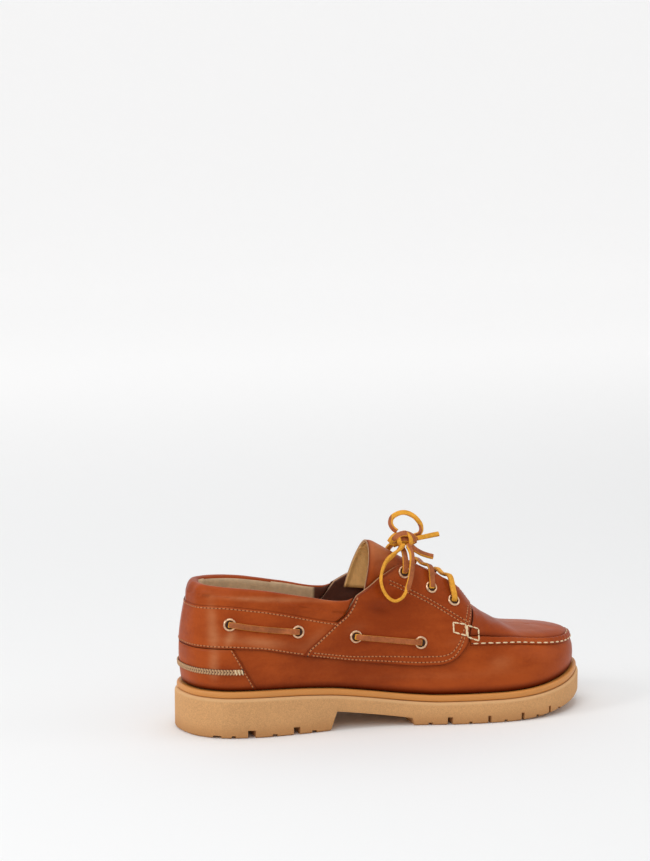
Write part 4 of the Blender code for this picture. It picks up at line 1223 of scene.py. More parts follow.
def panel(across, up, place):
    """Grid mapped by a function of its two shares, which gives a point and how dark its painted shade is there."""
    bm = bmesh.new()
    bmesh.ops.create_grid(bm, x_segments=len(across) - 1, y_segments=len(up) - 1, size=0.5)
    burnish = bm.verts.layers.float.new("burnish")
    pull = bm.verts.layers.float.new("pull")
    for vert in bm.verts:
        column = round((vert.co.x + 0.5) * (len(across) - 1))
        row = round((vert.co.y + 0.5) * (len(up) - 1))
        spot, dark = place(across[column], up[row])
        vert.co = spot
        side = -1 if spot.y < 0 else 1
        # Painted shade and darker patches
        vert[burnish] = min(1.0, dark + bump_of(DARK_AND_SHADED_PATCHES, side, spot))
        # Pulled-up patches and painted highlights
        vert[pull] = min(1.0, bump_of(PALE_AND_LIT_PATCHES, side, spot))
    bmesh.ops.remove_doubles(bm, verts=bm.verts[:], dist=MERGE_DISTANCE)
    return bm


def give_thickness(item, thickness, inner=0, rim=0):
    """Wall behind a sheet, with the finishes of its inner face and its rim."""
    wall = item.modifiers.new("Wall", "SOLIDIFY")
    wall.thickness = thickness
    wall.offset = -1
    wall.use_quality_normals = True
    wall.material_offset = inner
    wall.material_offset_rim = rim
    return item


def settled(item):
    """Puts the result of a piece's modifiers in its mesh."""
    graph = bpy.context.evaluated_depsgraph_get()
    shape = bpy.data.meshes.new_from_object(item.evaluated_get(graph))
    old = item.data
    item.modifiers.clear()
    item.data = shape
    bpy.data.meshes.remove(old)
    return item


# Sole

def fine_slab(levels, steps, across):
    """Closed plate in the sole's outline. Each level is an inset and a height at x, from the bottom up."""
    bm = bmesh.new()
    bmesh.ops.create_grid(bm, x_segments=steps, y_segments=across, size=0.5)
    along = bm.verts.layers.float.new("along")
    over = bm.verts.layers.float.new("over")
    tall = bm.verts.layers.float.new("tall")
    for vert in bm.verts:
        vert[along] = vert.co.x + 0.5
        vert[over] = vert.co.y + 0.5
    places = [drawn_in(share) for share in even_shares(steps)]

    def settle(verts, share, inset, height):
        for vert in verts:
            place = places[round(vert[along] * steps)]
            outer, inner = inset_outline(place, inset), inset_outline(2.0 - place, inset)
            spot = outer.lerp(inner, vert[over])
            vert.co = (spot.x, spot.y, height(spot.x))
            vert[tall] = share

    faces = bm.faces[:]
    settle(bm.verts, 0.0, *levels[0])
    for k, level in enumerate(levels[1:]):
        made = bmesh.ops.extrude_face_region(bm, geom=faces)
        if k > 0:
            bmesh.ops.delete(bm, geom=faces, context="FACES")
        faces = [item for item in made["geom"] if isinstance(item, bmesh.types.BMFace)]
        verts = [item for item in made["geom"] if isinstance(item, bmesh.types.BMVert)]
        settle(verts, (k + 1) / (len(levels) - 1), *level)
    bmesh.ops.remove_doubles(bm, verts=bm.verts[:], dist=MERGE_DISTANCE)
    bmesh.ops.recalc_face_normals(bm, faces=bm.faces[:])
    return bm


def box_tool(low, high):
    """Box between two corners, to cut with."""
    bm = bmesh.new()
    bmesh.ops.create_cube(bm, size=1.0)
    bmesh.ops.scale(bm, vec=[high[k] - low[k] for k in range(3)], verts=bm.verts[:])
    bmesh.ops.translate(bm, vec=[(high[k] + low[k]) / 2 for k in range(3)], verts=bm.verts[:])
    return object_of("tool", bm)


def arch_tool():
    """Space under the waist, between the slanted heel breast and the back of the forefoot."""
    back, front = ARCH_BACK * SOLE_LENGTH, ARCH_FRONT * SOLE_LENGTH
    corners = [(back, BELOW_FLOOR), (back, 0.0), (back + BREAST_SLOPE, ARCH_BACK_HEIGHT),
               (front - FRONT_SLOPE, ARCH_FRONT_HEIGHT), (front, 0.0), (front, BELOW_FLOOR)]
    bm = bmesh.new()
    first = bm.faces.new([bm.verts.new((x, -BALL_WIDTH, z)) for x, z in corners])
    made = bmesh.ops.extrude_face_region(bm, geom=[first])
    moved = [item for item in made["geom"] if isinstance(item, bmesh.types.BMVert)]
    bmesh.ops.translate(bm, vec=(0, 2 * BALL_WIDTH, 0), verts=moved)
    bmesh.ops.recalc_face_normals(bm, faces=bm.faces[:])
    return object_of("tool", bm)


def sole_tools():
    """Everything that is cut from the sole: the arch, the grooves across it and the nicks in its sides."""
    tools = [arch_tool()]
    for along, width in SIDE_GROOVES:
        x, half = along * SOLE_LENGTH, width * SOLE_LENGTH / 2
        ceiling = tread_height(x) + TREAD_DEPTH
        tools.append(box_tool((x - half, -BALL_WIDTH, BELOW_FLOOR), (x + half, BALL_WIDTH, ceiling)))
    for along, width in SIDE_NICKS:
        x, half = along * SOLE_LENGTH, width * SOLE_LENGTH / 2
        ceiling = tread_height(x) + NICK_DEPTH
        for side in (-1, 1):
            edge = side_reach(x, side)
            near, far = sorted((edge - side * NICK_RUN, edge + side * NICK_RUN))
            tools.append(box_tool((x - half, near, BELOW_FLOOR), (x + half, far, ceiling)))
    return tools


# Steps along the sole and its lip
SOLE_STEPS = 110


def make_outsole():
    """Lug sole with a rounded shoulder, cut, softened at its edges and marked along its bead for a painted highlight.
    """
    shoulder, bead_low, bead_high = 0.0022, 0.0023, 0.0011
    bevel_width, bevel_angle, sharp_angle = 0.0005, math.radians(50), math.radians(40)

    def top(x):
        return welt_foot(x) - GAP

    def level(drop):
        return lambda x: top(x) - drop

    levels = [
        (TREAD_EDGE, tread_height),
        (0.0004, lambda x: tread_height(x) + 0.5 * TREAD_EDGE),
        (0.0, lambda x: tread_height(x) + TREAD_EDGE),
        (0.0, lambda x: mix(tread_height(x) + TREAD_EDGE, top(x) - shoulder, 0.5)),
        (0.0, level(shoulder)),
        (0.0002, level(0.0013)),
        (0.0007, level(0.0005)),
        (SOLE_BEAD_DEPTH + 0.0003, level(0.0)),
    ]
    sole = piece("lug_sole", fine_slab(levels, SOLE_STEPS, 2), ["gum"], ["outsole"], "gum_rubber")
    tools = sole_tools()
    for one in tools:
        step = sole.modifiers.new("Cut", "BOOLEAN")
        step.operation = "DIFFERENCE"
        step.solver = "EXACT"
        step.object = one
    soft = sole.modifiers.new("Soft edges", "BEVEL")
    soft.width = bevel_width
    soft.segments = 2
    soft.limit_method = "ANGLE"
    soft.angle_limit = bevel_angle
    settled(sole)
    for one in tools:
        bpy.data.objects.remove(one, do_unlink=True)
    sole.data.set_sharp_from_angle(angle=sharp_angle)
    # Where the bead's painted highlight goes
    bead = sole.data.attributes.new("bead", "FLOAT", "POINT")
    for vert, value in zip(sole.data.vertices, bead.data):
        value.value = smooth_step(vert.co.z, top(vert.co.x) - bead_low, top(vert.co.x) - bead_high)
    return sole


def make_welt():
    """Rounded lip of the sole, with painted shade in the crease where the leather meets it."""
    count, depth, fullness, crease_shade, crease_start = 9, 0.0013, 0.8, 0.75, 0.88
    levels = []
    for k in range(count + 1):
        turn = math.pi * (k / count - 0.5)
        inset = WELT_SET_IN + depth * (1 - abs(math.cos(turn)) ** fullness)
        share = 0.5 + 0.5 * math.sin(turn)
        levels.append((inset, lambda x, share=share: mix(welt_foot(x), welt_top(x), share)))
    levels.append((FEATHER_SET_IN_TOE - 0.0004, lambda x: welt_top(x) - 0.0001))
    levels.append((FEATHER_SET_IN + 0.0014, lambda x: welt_top(x) - 0.0006))
    bm = fine_slab(levels, SOLE_STEPS, 2)
    burnish = bm.verts.layers.float.new("burnish")
    tall = bm.verts.layers.float["tall"]
    for vert in bm.verts:
        vert[burnish] = crease_shade * smooth_step(vert[tall], crease_start, 1.0)
    return piece("welt_lip", bm, ["welt"], ["welt"], "welt_rubber")


def make_footbed():
    """Padded sock inside the shoe, its top following the welt."""
    inset, edge_share, edge_inset = FEATHER_SET_IN + WALL + FOOTBED_SET_IN, 0.7, 0.0006
    levels = [
        (inset, lambda x: welt_top(x) + GAP),
        (inset, lambda x: welt_top(x) + GAP + edge_share * FOOTBED_THICKNESS),
        (inset + edge_inset, lambda x: welt_top(x) + GAP + FOOTBED_THICKNESS),
    ]
    item = piece("inner_sock", fine_slab(levels, 60, 8), ["lining"], ["footbed"], "lining_leather")
    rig.padded(item, fill=0.9)
    return item


# Upper

def shade_near_welt(point):
    """How dark the shade is painted on the leather near the sole, where the upper meets the lip."""
    darkest, start, reach = 0.85, 0.0004, 0.0065
    return darkest * (1 - smooth_step(point.z - welt_top(point.x), start, reach))


def make_wall():
    """Vamp and inner wall in one, closed over the toes and open at the collar and the throat."""
    tops = {}
    last_fold = 0.995

    def place(along, up):
        q = around_place(along)
        if q not in tops:
            tops[q] = collar_foot(q)
        v = up * tops[q]
        spot = face(q, v, 0.0) if v < last_fold else skin(q, v)
        return spot, shade_near_welt(spot)

    bm = panel(even_shares(250), even_shares(36), place)
    item = piece("vamp", bm, ["leather", "lining", "raw_edge"], ["upper"], "tan_leather")
    return give_thickness(item, WALL, 1, 2)


# Metres along a side from heel to toe, which turn a share of the side into a length
SIDE_REACH = 0.345
# How far the quarter's front edge and the saddle's rear edge lie ahead of the diagonal line, as shares of
# the side. The quarter runs on under the saddle.
UNDER_SADDLE = 0.006
SADDLE_SHIFT = 0.0006
# Length and rise of a saddle, and the rise by which its stitch rows are set
SADDLE_LENGTH, SADDLE_RISE, STITCHED_RISE = 0.098, 0.045, 0.046


def make_overlay(name, across, up, place, base, thickness, replaced, edge_round):
    """Leather laid over the vamp, rounded at its edges and darker towards them, as painted shade and edge ink.

    place gives a spot's place round the loop, height and distance from an edge, and whether the leather
    stands on the sole."""
    darkest, shade_reach, wall_share = 0.62, 0.0022, 0.55

    def spot(along, rise):
        q, v, distance, foot = place(along, rise)
        point = face(q, v, base + thickness * rounded(distance, edge_round))
        # Painted shade and edge ink near the edge, and painted shade near the sole where the leather stands on it
        dark = darkest * (1 - smooth_step(distance, 0.0, shade_reach))
        return point, max(dark, shade_near_welt(point) if foot else 0.0)

    item = piece(name, panel(across, up, spot), ["leather", "edge"], replaced, "tan_leather")
    return give_thickness(item, wall_share * thickness, 1, 1)


def ends_between(line, low, high, shift=0.0, rows=8):
    """Function of a side and a share up it that gives the place where a panel ends at a line."""
    stops = line_ends(line, low, high, rows, shift)
    return lambda side, up: smooth_table(even_shares(rows), stops[side], up)


def round_the_heel(along, up, stop):
    """A panel's spot: its place round the loop, share of the way to the front edge, and length to it."""
    signed = 2 * along - 1
    end = stop(-1 if signed > 0 else 1, up)
    return signed * end, signed, (1 - abs(signed)) * end * SIDE_REACH


def counter_top(q):
    return quarter_foot(q) - 0.004


def counter_low(q):
    return 0.012


def make_counter():
    """Heel counter under the quarter. Gives the function for its slanted front edges."""
    stop = ends_between(COUNTER_LINE, counter_low, counter_top, rows=4)
    length, edge_round = 0.160, 0.0007

    def place(along, up):
        q, _, distance = round_the_heel(along, up, stop)
        return q, mix(counter_low(q), counter_top(q), up), distance, True

    make_overlay("counter_panel", edged_shares(90, length), even_shares(12), place, LAY_GAP,
                 COUNTER_THICKNESS, ["heel_counter"], edge_round)
    return stop


def quarter_top(q):
    return collar_line_height(q) + 0.004


def make_quarter():
    """Rear quarter, in one piece round the heel. Gives the function for its front edges."""
    stop = ends_between(DIAGONAL_LINE, quarter_foot, quarter_top, UNDER_SADDLE)
    length, rise, edge_round = 0.24, 0.030, 0.0008

    def place(along, up):
        q, _, distance = round_the_heel(along, up, stop)
        low = quarter_foot(q)
        v = mix(low, quarter_top(q), up)
        return q, v, min((v - low) * rib_length(q), distance), False

    make_overlay("rear_quarter", edged_shares(150, length), edged_shares(20, rise, last=0.0), place, LAY_GAP,
                 QUARTER_THICKNESS, ["quarter"], edge_round)
    return stop


def saddle_top(q):
    return 0.994


def saddle_places(side):
    """Function of shares from a saddle's rear and foot: the spot's place round the loop and height."""
    back = ends_between(DIAGONAL_LINE, quarter_foot, saddle_top, SADDLE_SHIFT)
    front = ends_between(SADDLE_FRONT, quarter_foot, saddle_top)

    def spot(along, up):
        q = loop_place(side, mix(back(side, up), front(side, up), along))
        return q, mix(quarter_foot(q), saddle_top(q), up)

    return spot


def make_saddle(side, word, spot):
    """Eyestay panel of one side."""
    edge_round = 0.0009

    def place(along, up):
        share = along if side < 0 else 1 - along
        q, v = spot(share, up)
        from_rim = min(v - quarter_foot(q), saddle_top(q) - v) * rib_length(q)
        return q, v, min(from_rim, share * SADDLE_LENGTH, (1 - share) * SADDLE_LENGTH), False

    across, rising = edged_shares(80, SADDLE_LENGTH), edged_shares(36, SADDLE_RISE)
    make_overlay(f"saddle_panel_{word}", across, rising, place, SADDLE_GAP, SADDLE_THICKNESS,
                 [f"saddle_{word}"], edge_round)


def make_collar():
    """Padded roll round the opening, drawn in along its seam and closed round at its two front ends."""
    seat, squareness, taper_start = 0.001, 0.74, 0.55
    end_gap, end_round = 0.0012, 0.0035
    end_share, seam_shade = 0.35, 0.55
    stop = ends_between(DIAGONAL_LINE, collar_line_height, full_height, -end_gap)

    def squared(value):
        return math.copysign(abs(value) ** squareness, value)

    def place(along, around):
        turn = 2 * math.pi * around
        up = (squared(math.sin(turn)) + 1) / 2
        q, signed, distance = round_the_heel(along, up, stop)
        low = collar_line_height(q) + seat
        pad = mix(COLLAR_PAD, COLLAR_PAD_FRONT, between(abs(signed), taper_start, 1.0))
        closing = end_share + (1 - end_share) * rounded(distance, end_round)
        ripple = 0.00025 * noise.noise(Vector((q * 40.0, around * 3.0, 0.0)))
        out = squared(math.cos(turn))
        bulge = COLLAR_BULGE + 0.0004 * math.sin(math.pi * up)
        lift = bulge * closing + (out * closing - 1) * pad / 2 + ripple + (1 - closing) * 0.2 * pad
        if out > 0 and up < 0.5:
            lift = max(lift, mix(QUARTER_FACE - 0.0004, bulge, smooth_step(up, 0.02, 0.40)) * closing)
        point = face(q, mix(low, 1.0, up), lift)
        # Painted shade along the seam at the roll's foot; a little darker on its inner half
        seam = seam_shade * (1 - smooth_step(up, 0.0, 0.10)) if out > -0.2 else 0.2
        return point, seam

    bm = panel(even_shares(200), even_shares(36), place)
    close_ends(bm)
    for one in bm.faces:
        one.material_index = 1 if faces_inward(one) else 0
    item = piece("collar_roll", bm, ["leather", "lining"], ["collar"], "tan_leather")
    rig.padded(item, fill=0.8)
    return item


def faces_inward(one):
    """Whether a face of the collar looks into the shoe, below its rim."""
    heel_middle, heel_front, least, rim_tilt = -0.085, -0.10, 0.02, 0.45
    middle, out = one.calc_center_median(), one.normal
    from_middle = Vector((middle.x - heel_middle, middle.y, 0.0))
    way = Vector((0.0 if middle.x > heel_front else out.x, out.y, 0.0))
    return way.dot(from_middle) < -least * from_middle.length and out.z < rim_tilt


# Toe

def make_apron():
    """Top panel of the toe, crowned inside its raised seam."""
    above, gap_low, gap_high, spacing = 0.030, 0.002, 0.012, 1.25
    width, edge_round, crown_height, seam_shade, thickness = 0.030, 0.0020, 0.0004, 0.55, 0.0006

    def low(q):
        return seam_foot(q) + above

    begin = ends_between(SADDLE_FRONT, low, full_height, rows=5)

    def place(along, up):
        signed = 2 * along - 1
        side = -1 if signed <= 0 else 1
        share = 1 - abs(signed) ** spacing
        start = begin(side, up) + mix(gap_low, gap_high, up * up)
        q = loop_place(side, mix(start, 1.0, share))
        v = mix(low(q), 1.0, up)
        crown = crown_height * math.sin(math.pi * min(1.0, 2 * up))
        lift = APRON_GAP + APRON_THICKNESS * rounded(up * width + 0.0002, edge_round) + crown
        out = skin_normal(q, v).lerp(WORLD_UP, smooth_step(v, 0.70, 1.0)).normalized()
        point = skin(q, v)
        point = point + out * (lift + bump_of(FOLDS, side, point))
        if up == 1.0:
            point.y = 0.0
        return point, seam_shade * (1 - smooth_step(up, 0.0, 0.14))

    bm = panel(even_shares(120), edged_shares(22, width, first=0.0015, last=0.0), place)
    item = piece("toe_apron", bm, ["leather", "edge"], ["apron"], "tan_leather")
    return give_thickness(item, thickness, 1, 1)


def seam_foot(q):
    return meet_height(q, SEAM_LINE)


# Section of the raised toe seam: distance up from its line and lift, in metres
SEAM_SECTION = [(-0.0046, -0.0002), (-0.0041, 0.0007), (-0.0032, 0.0014), (-0.0018, 0.0018),
                (-0.0004, 0.0023), (0.0006, 0.0025), (0.0013, 0.0022), (0.0018, 0.0014), (0.0021, 0.0004)]

# Distance from stitch to stitch on the toe, which its leather is gathered by
TOE_PITCH = 0.0058


def seam_ends():
    """Places along the outer and the inner side where the toe seam stops at the saddle."""
    gap = 0.002
    return [on_line(side, SADDLE_FRONT, seam_foot, seam_foot, 0.5) + gap for side in (-1, 1)]


def beside_seam(q, distance):
    """Height on the rib of a spot that lies a distance above the toe seam's line."""
    return min(0.999, seam_foot(q) + distance / rib_length(q))


def make_toe_seam():
    """Raised seam round the toe, where the wall of the vamp is drawn up against the apron."""
    first, last = seam_ends()
    reach, gather_depth, end_round, sunk, thickness = 0.250, 0.00022, 0.003, 0.0002, 0.0005
    distances, lifts = ([row[k] for row in SEAM_SECTION] for k in range(2))

    def place(along, up):
        q = mix(first, 2.0 - last, along)
        distance = mix(distances[0], distances[-1], up)
        lift = smooth_table(distances, lifts, distance)
        gather = gather_depth * (0.5 + 0.5 * math.cos(2 * math.pi * along * reach / TOE_PITCH))
        closing = rounded(min(along, 1 - along) * reach, end_round)
        # Painted shade in the creases along both sides of the ridge
        outer_crease_shade = 0.55 * (1 - smooth_step(distance, -0.0046, -0.0034))
        inner_crease_shade = 0.5 * smooth_step(distance, 0.0012, 0.0020)
        spot = face(q, beside_seam(q, distance), -sunk + (lift + gather + sunk) * closing)
        return spot, outer_crease_shade + inner_crease_shade

    bm = panel(even_shares(240), even_shares(16), place)
    item = piece("toe_seam_ridge", bm, ["leather", "edge"], ["apron_seam"], "tan_leather")
    return give_thickness(item, thickness, 1, 1)


# Tongue

def make_tongue():
    """Bellows tongue: leather outside, soft lining inside, raw edge all round."""
    step, length, half_width, roll_depth, sunk = 0.01, 0.080, 0.022, 0.0009, 0.0002

    def place(along, up):
        turn = 2 * up - 1
        point = tongue_face(along, turn)
        run = tongue_face(min(1.0, along + step), turn) - tongue_face(max(0.0, along - step), turn)
        over = tongue_face(along, min(1.0, turn + step)) - tongue_face(along, max(-1.0, turn - step))
        out = run.cross(over).normalized()
        soft = 0.0007 * noise.noise(Vector((along * 9.0, turn * 2.5, 3.0)))
        roll = -roll_depth * (1 - smooth_step(along, 0.0, 0.04))
        edge = min(along * length, (1 - abs(turn)) * half_width)
        # Darker towards its edges
        return point + out * (soft + roll - sunk), 0.9 * (1 - smooth_step(edge, 0.0003, 0.0016))

    bm = panel(even_shares(72), even_shares(44), place)
    item = piece("tongue_leather", bm, ["leather", "tongue_lining", "raw_edge"], ["tongue"], "tan_leather")
    return give_thickness(item, TONGUE_THICKNESS - 0.0006, 1, 2)


# Stitching

def trace(spots, lift):
    """Points of a row of places on the skin, with the way out of the leather at each."""
    return [(face(q, v, lift), skin_normal(q, v)) for q, v in spots]


def along_trace(row, pitch, first=0.5):
    """Places at an even pitch along a traced row: point, heading and way out."""
    knots = [0.0]
    for (a, _), (b, _) in zip(row, row[1:]):
        knots.append(knots[-1] + (b - a).length)
    count = max(1, round(knots[-1] / pitch))
    spots = []
    k = 0
    for n in range(count):
        at = (n + first) * knots[-1] / count
        while k < len(knots) - 2 and knots[k + 1] < at:
            k += 1
        share = (at - knots[k]) / max(1e-9, knots[k + 1] - knots[k])
        (a, out_a), (b, out_b) = row[k], row[k + 1]
        spots.append((a.lerp(b, share), (b - a).normalized(), out_a.lerp(out_b, share).normalized()))
    return spots


def sew(whole, row, pitch, length, width, height, skew=0.0, holes=True):
    """Stitches along a traced row, each a small rounded stroke, with a dark sunk disc between each two as the painted
    shade of a needle hole.
    """
    hole_share, hole_height, hole_sunk = 0.60, 0.00018, 0.0001
    lying = Matrix.Rotation(math.pi / 2, 4, "Y")
    bm = bmesh.new()
    for spot, heading, out in along_trace(row, pitch):
        over = out.cross(heading).normalized()
        ahead = (heading * math.cos(skew) + over * math.sin(skew)).normalized()
        over = out.cross(ahead).normalized()
        turn = Matrix((ahead, over, out)).transposed().to_4x4()
        size = Matrix.Diagonal((height / 2, width / 2, length / 2, 1.0))
        seat = Matrix.Translation(spot) @ turn @ lying @ size
        bmesh.ops.create_uvsphere(bm, u_segments=6, v_segments=5, radius=1.0, matrix=seat)
    if holes:
        for spot, heading, out in along_trace(row, pitch, first=0.0):
            turn = Matrix((heading, out.cross(heading).normalized(), out)).transposed().to_4x4()
            size = Matrix.Diagonal((hole_share * width, hole_share * width, hole_height, 1.0))
            seat = Matrix.Translation(spot - out * hole_sunk) @ turn @ size
            second_finish(bmesh.ops.create_uvsphere(bm, u_segments=6, v_segments=3, radius=1.0, matrix=seat))
    add_to(whole, bm)


def heel_to_toe(stop_inner, stop_outer, count):
    """Places round the back of the shoe from the inner side's end to the outer side's."""
    return [mix(-stop_inner, stop_outer, k / count) for k in range(count + 1)]


# How far a stitch row, and the second of a double row, stand in from the edge
ROW_INSET, SECOND_INSET = 0.0016, 0.0038


def quarter_rows(stop):
    """Rows on the rear quarter: under the collar's seam and above its own lower edge."""
    rows = []
    for share, edge, inset in ((1.0, quarter_top, -0.0014), (0.0, quarter_foot, ROW_INSET)):
        ends = [stop(side, share) - UNDER_SADDLE for side in (1, -1)]
        rows.append([(q, edge(q) + inset / rib_length(q)) for q in heel_to_toe(*ends, 150)])
    return rows


def saddle_rows(spot):
    """Rows on a saddle: along its rear edge, and double along its foot and front."""
    start, corner, reach, rise = 0.004, 0.010, SADDLE_LENGTH, STITCHED_RISE
    rows = [[spot(ROW_INSET / reach, 0.02 + 0.97 * share) for share in even_shares(30)]]
    for inset, top in ((ROW_INSET, 0.985), (SECOND_INSET, 0.62)):
        path = []
        for share in even_shares(40):
            path.append(spot(mix(start / reach, 1 - (inset + corner) / reach, share), inset / rise))
        for share in even_shares(10)[1:-1]:
            turn = math.pi / 2 * share
            path.append(spot(1 - (inset + corner * (1 - math.sin(turn))) / reach,
                             (inset + corner * (1 - math.cos(turn))) / rise))
        for share in even_shares(24):
            path.append(spot(1 - inset / reach, mix((inset + corner) / rise, top, share)))
        rows.append(path)
    return rows


# Double stitch row of the eyestay, in x and z, and the distance between its two rows
EYESTAY_START, EYESTAY_END = (-0.0030, 0.1000), (0.0525, 0.0680)
EYESTAY_APART = 0.0026

# Boxes of stitches that lock the ends of the toe seam, in x and z
BOX_STITCHES = [
    [(0.0415, 0.0690), (0.0500, 0.0672), (0.0500, 0.0600), (0.0410, 0.0628), (0.0415, 0.0690)],
    [(0.0510, 0.0665), (0.0590, 0.0632), (0.0580, 0.0560), (0.0505, 0.0592), (0.0510, 0.0665)],
]


def on_side(side, x, z):
    """Place round the loop and height of the spot of one side with this x and z, in metres."""
    return seat_on_skin(side, x / SOLE_LENGTH, (z - BALL_STACK) / INSTEP_RISE)


def eyestay_rows(side):
    """Double row that slants down over the saddle, slightly bowed."""
    bow = 0.0016
    rows = []
    for drop in (0.0, EYESTAY_APART):
        row = []
        for share in even_shares(24):
            x, z = (mix(EYESTAY_START[k], EYESTAY_END[k], share) for k in range(2))
            row.append(on_side(side, x, z - drop + bow * math.sin(math.pi * share)))
        rows.append(row)
    return rows


def make_seam_stitches(quarter_stop, counter_stop, saddles):
    """Tonal stitching of the quarters, saddles, eyestays and counter."""
    sizes = bpy.context.scene.shoe_sizes
    pitch, length, width = sizes.stitch_pitch, sizes.stitch_length, sizes.thread_width
    height, rear_share, counter_inset = 0.7 * width, 1.35, 0.0018
    bm = bmesh.new()
    for row in quarter_rows(quarter_stop):
        sew(bm, trace(row, QUARTER_FACE), pitch, length, width, height)
    for side, spot in saddles.items():
        for k, row in enumerate(saddle_rows(spot) + eyestay_rows(side)):
            broad = rear_share if k == 0 else 1.0
            sew(bm, trace(row, SADDLE_FACE), pitch, length, broad * width, broad * height)
    for side in (-1, 1):
        row = []
        for share in even_shares(20):
            up = mix(0.04, 1.0, share)
            q = loop_place(side, counter_stop(side, up) - counter_inset / SIDE_REACH)
            row.append((q, mix(counter_low(q), counter_top(q), up)))
        sew(bm, trace(row, LAY_GAP + COUNTER_THICKNESS), pitch, length, width, height)
    return piece("seam_stitches", bm, ["seam_thread", "hole"], [], "seam_leather")


def make_toe_stitches():
    """Thick stitches on both sides of the raised toe seam, and the two boxes that lock each of its ends."""
    sizes = bpy.context.scene.shoe_sizes
    width, length = sizes.toe_thread_width, sizes.toe_stitch_length
    first, last = seam_ends()
    end_gap, toe_front, box_pitch = 0.004, 0.93, 0.0046
    bm = bmesh.new()
    around = [mix(first + end_gap, 2.0 - last - end_gap, share) for share in even_shares(160)]
    outer = [(q, beside_seam(q, -0.0032)) for q in around]
    inner = [(q, beside_seam(q, 0.0017)) for q in around if q > toe_front]
    sew(bm, trace(outer, 0.0014), TOE_PITCH, length, width, 0.8 * width)
    sew(bm, trace(inner, 0.0017), TOE_PITCH, length, 0.8 * width, 0.7 * width, holes=False)
    for side in (-1, 1):
        for box, lift in zip(BOX_STITCHES, (SADDLE_FACE, 0.5 * SADDLE_FACE + 0.0012)):
            for a, b in zip(box, box[1:]):
                run = [on_side(side, *(mix(a[k], b[k], share) for k in range(2))) for share in even_shares(6)]
                sew(bm, trace(run, lift), box_pitch, box_pitch, 1.1 * width, width, holes=False)
    return piece("toe_stitches", bm, ["toe_thread", "hole"], [], "seam_leather")


# Height of the heel seam as a share of the collar rise, and its ends as a share of the sole length
HEEL_SEAM_RISE = 0.19
HEEL_SEAM_END = -0.375


def make_heel_braid():
    """Raised seam round the heel: a strip whipped over with crossed thread, and pale stitches at its ends."""
    strip_shade, end_round, strip_wall = 0.35, 0.0015, 0.0004
    reach = place_at(HEEL_SEAM_END * SOLE_LENGTH)
    middle = HEEL_STACK + HEEL_SEAM_RISE * COLLAR_RISE
    base = LAY_GAP + COUNTER_THICKNESS

    def height(q, up):
        return height_on_rib(q, middle + (up - 0.5) * HEEL_SEAM_WIDTH)

    def place(along, up):
        q = mix(-reach, reach, along)
        swell = math.sqrt(max(0.0, 1 - (2 * up - 1) ** 2))
        closing = rounded(min(along, 1 - along) * 2 * reach * SIDE_REACH, end_round)
        lift = base + (HEEL_SEAM_THICKNESS - 0.0002) * swell * closing
        return face(q, height(q, up), lift), strip_shade

    bm = panel(even_shares(110), even_shares(8), place)
    give_thickness(piece("heel_seam_strip", bm, ["edge"], ["heel_seam"], "seam_leather"), strip_wall)
    bm = bmesh.new()
    for share, skew in ((0.27, 0.75), (0.73, -0.75)):
        row = trace([(q, height(q, share)) for q in heel_to_toe(reach - 0.004, reach - 0.004, 80)],
                    base + HEEL_SEAM_THICKNESS - 0.0003)
        sew(bm, row, 0.0021, 0.0029, 0.0016, 0.0012, skew, holes=False)
    piece("heel_whipping", bm, ["heel_thread"], [], "seam_leather")
    bm = bmesh.new()
    for side in (-1, 1):
        for k in range(3):
            q = loop_place(side, reach - 0.0035 - 0.0062 * k)
            row = trace([(q, height(q, share)) for share in (0.02, 0.35, 0.65, 0.98)],
                        base + HEEL_SEAM_THICKNESS + 0.0001)
            sew(bm, row, 0.0044, 0.0044, 0.0010, 0.0009, 0.3, holes=False)
    piece("heel_seam_ends", bm, ["toe_thread"], [], "seam_leather")


# Fastening

# Section of an eyelet: distance from its axis and height over the leather
EYELET_SECTION = [(0.00290, -0.0012), (0.00288, 0.0003), (0.00302, 0.0008), (0.00338, 0.00112),
                  (0.00378, 0.00118), (0.00420, 0.00096), (0.00450, 0.00055), (0.00460, 0.00010),
                  (0.00445, -0.0003), (0.00370, -0.0012)]

# Height of an eyelet's rim and of its lip inside over the leather, and how deep a lace goes in
RIM_HEIGHT, LIP_HEIGHT, HOLE_DEPTH = 0.00118, 0.0010, 0.0012


def seat_frame(side, along, rise, under):
    """Turn and place of an eyelet's seat, with Z out of the leather."""
    q, v = seat_on_skin(side, along, rise)
    out = skin_normal(q, v)
    return Matrix.Translation(face(q, v, under)) @ out.to_track_quat("Z", "Y").to_matrix().to_4x4()


def make_eyelet(name, side, along, rise, under, replaced):
    """Rolled brass ring with its barrel, and a dark disc in the barrel as painted shade."""
    bottom_radius, bottom_height, merge = 0.00300, 0.00012, 0.000005
    bm = bmesh.new()
    verts = [bm.verts.new((radius, 0.0, height)) for radius, height in EYELET_SECTION]
    edges = [bm.edges.new(pair) for pair in zip(verts, verts[1:] + verts[:1])]
    bmesh.ops.spin(bm, geom=verts + edges, cent=(0, 0, 0), axis=(0, 0, 1), angle=2 * math.pi, steps=36,
                   use_merge=True, use_duplicate=False)
    bmesh.ops.remove_doubles(bm, verts=bm.verts[:], dist=merge)
    bmesh.ops.recalc_face_normals(bm, faces=bm.faces[:])
    second_finish(bmesh.ops.create_circle(bm, cap_ends=True, radius=bottom_radius, segments=24,
                                          matrix=Matrix.Translation((0, 0, bottom_height))))
    bmesh.ops.transform(bm, matrix=seat_frame(side, along, rise, under), verts=bm.verts[:])
    return piece(name, bm, ["brass", "hole"], [replaced], "brass")


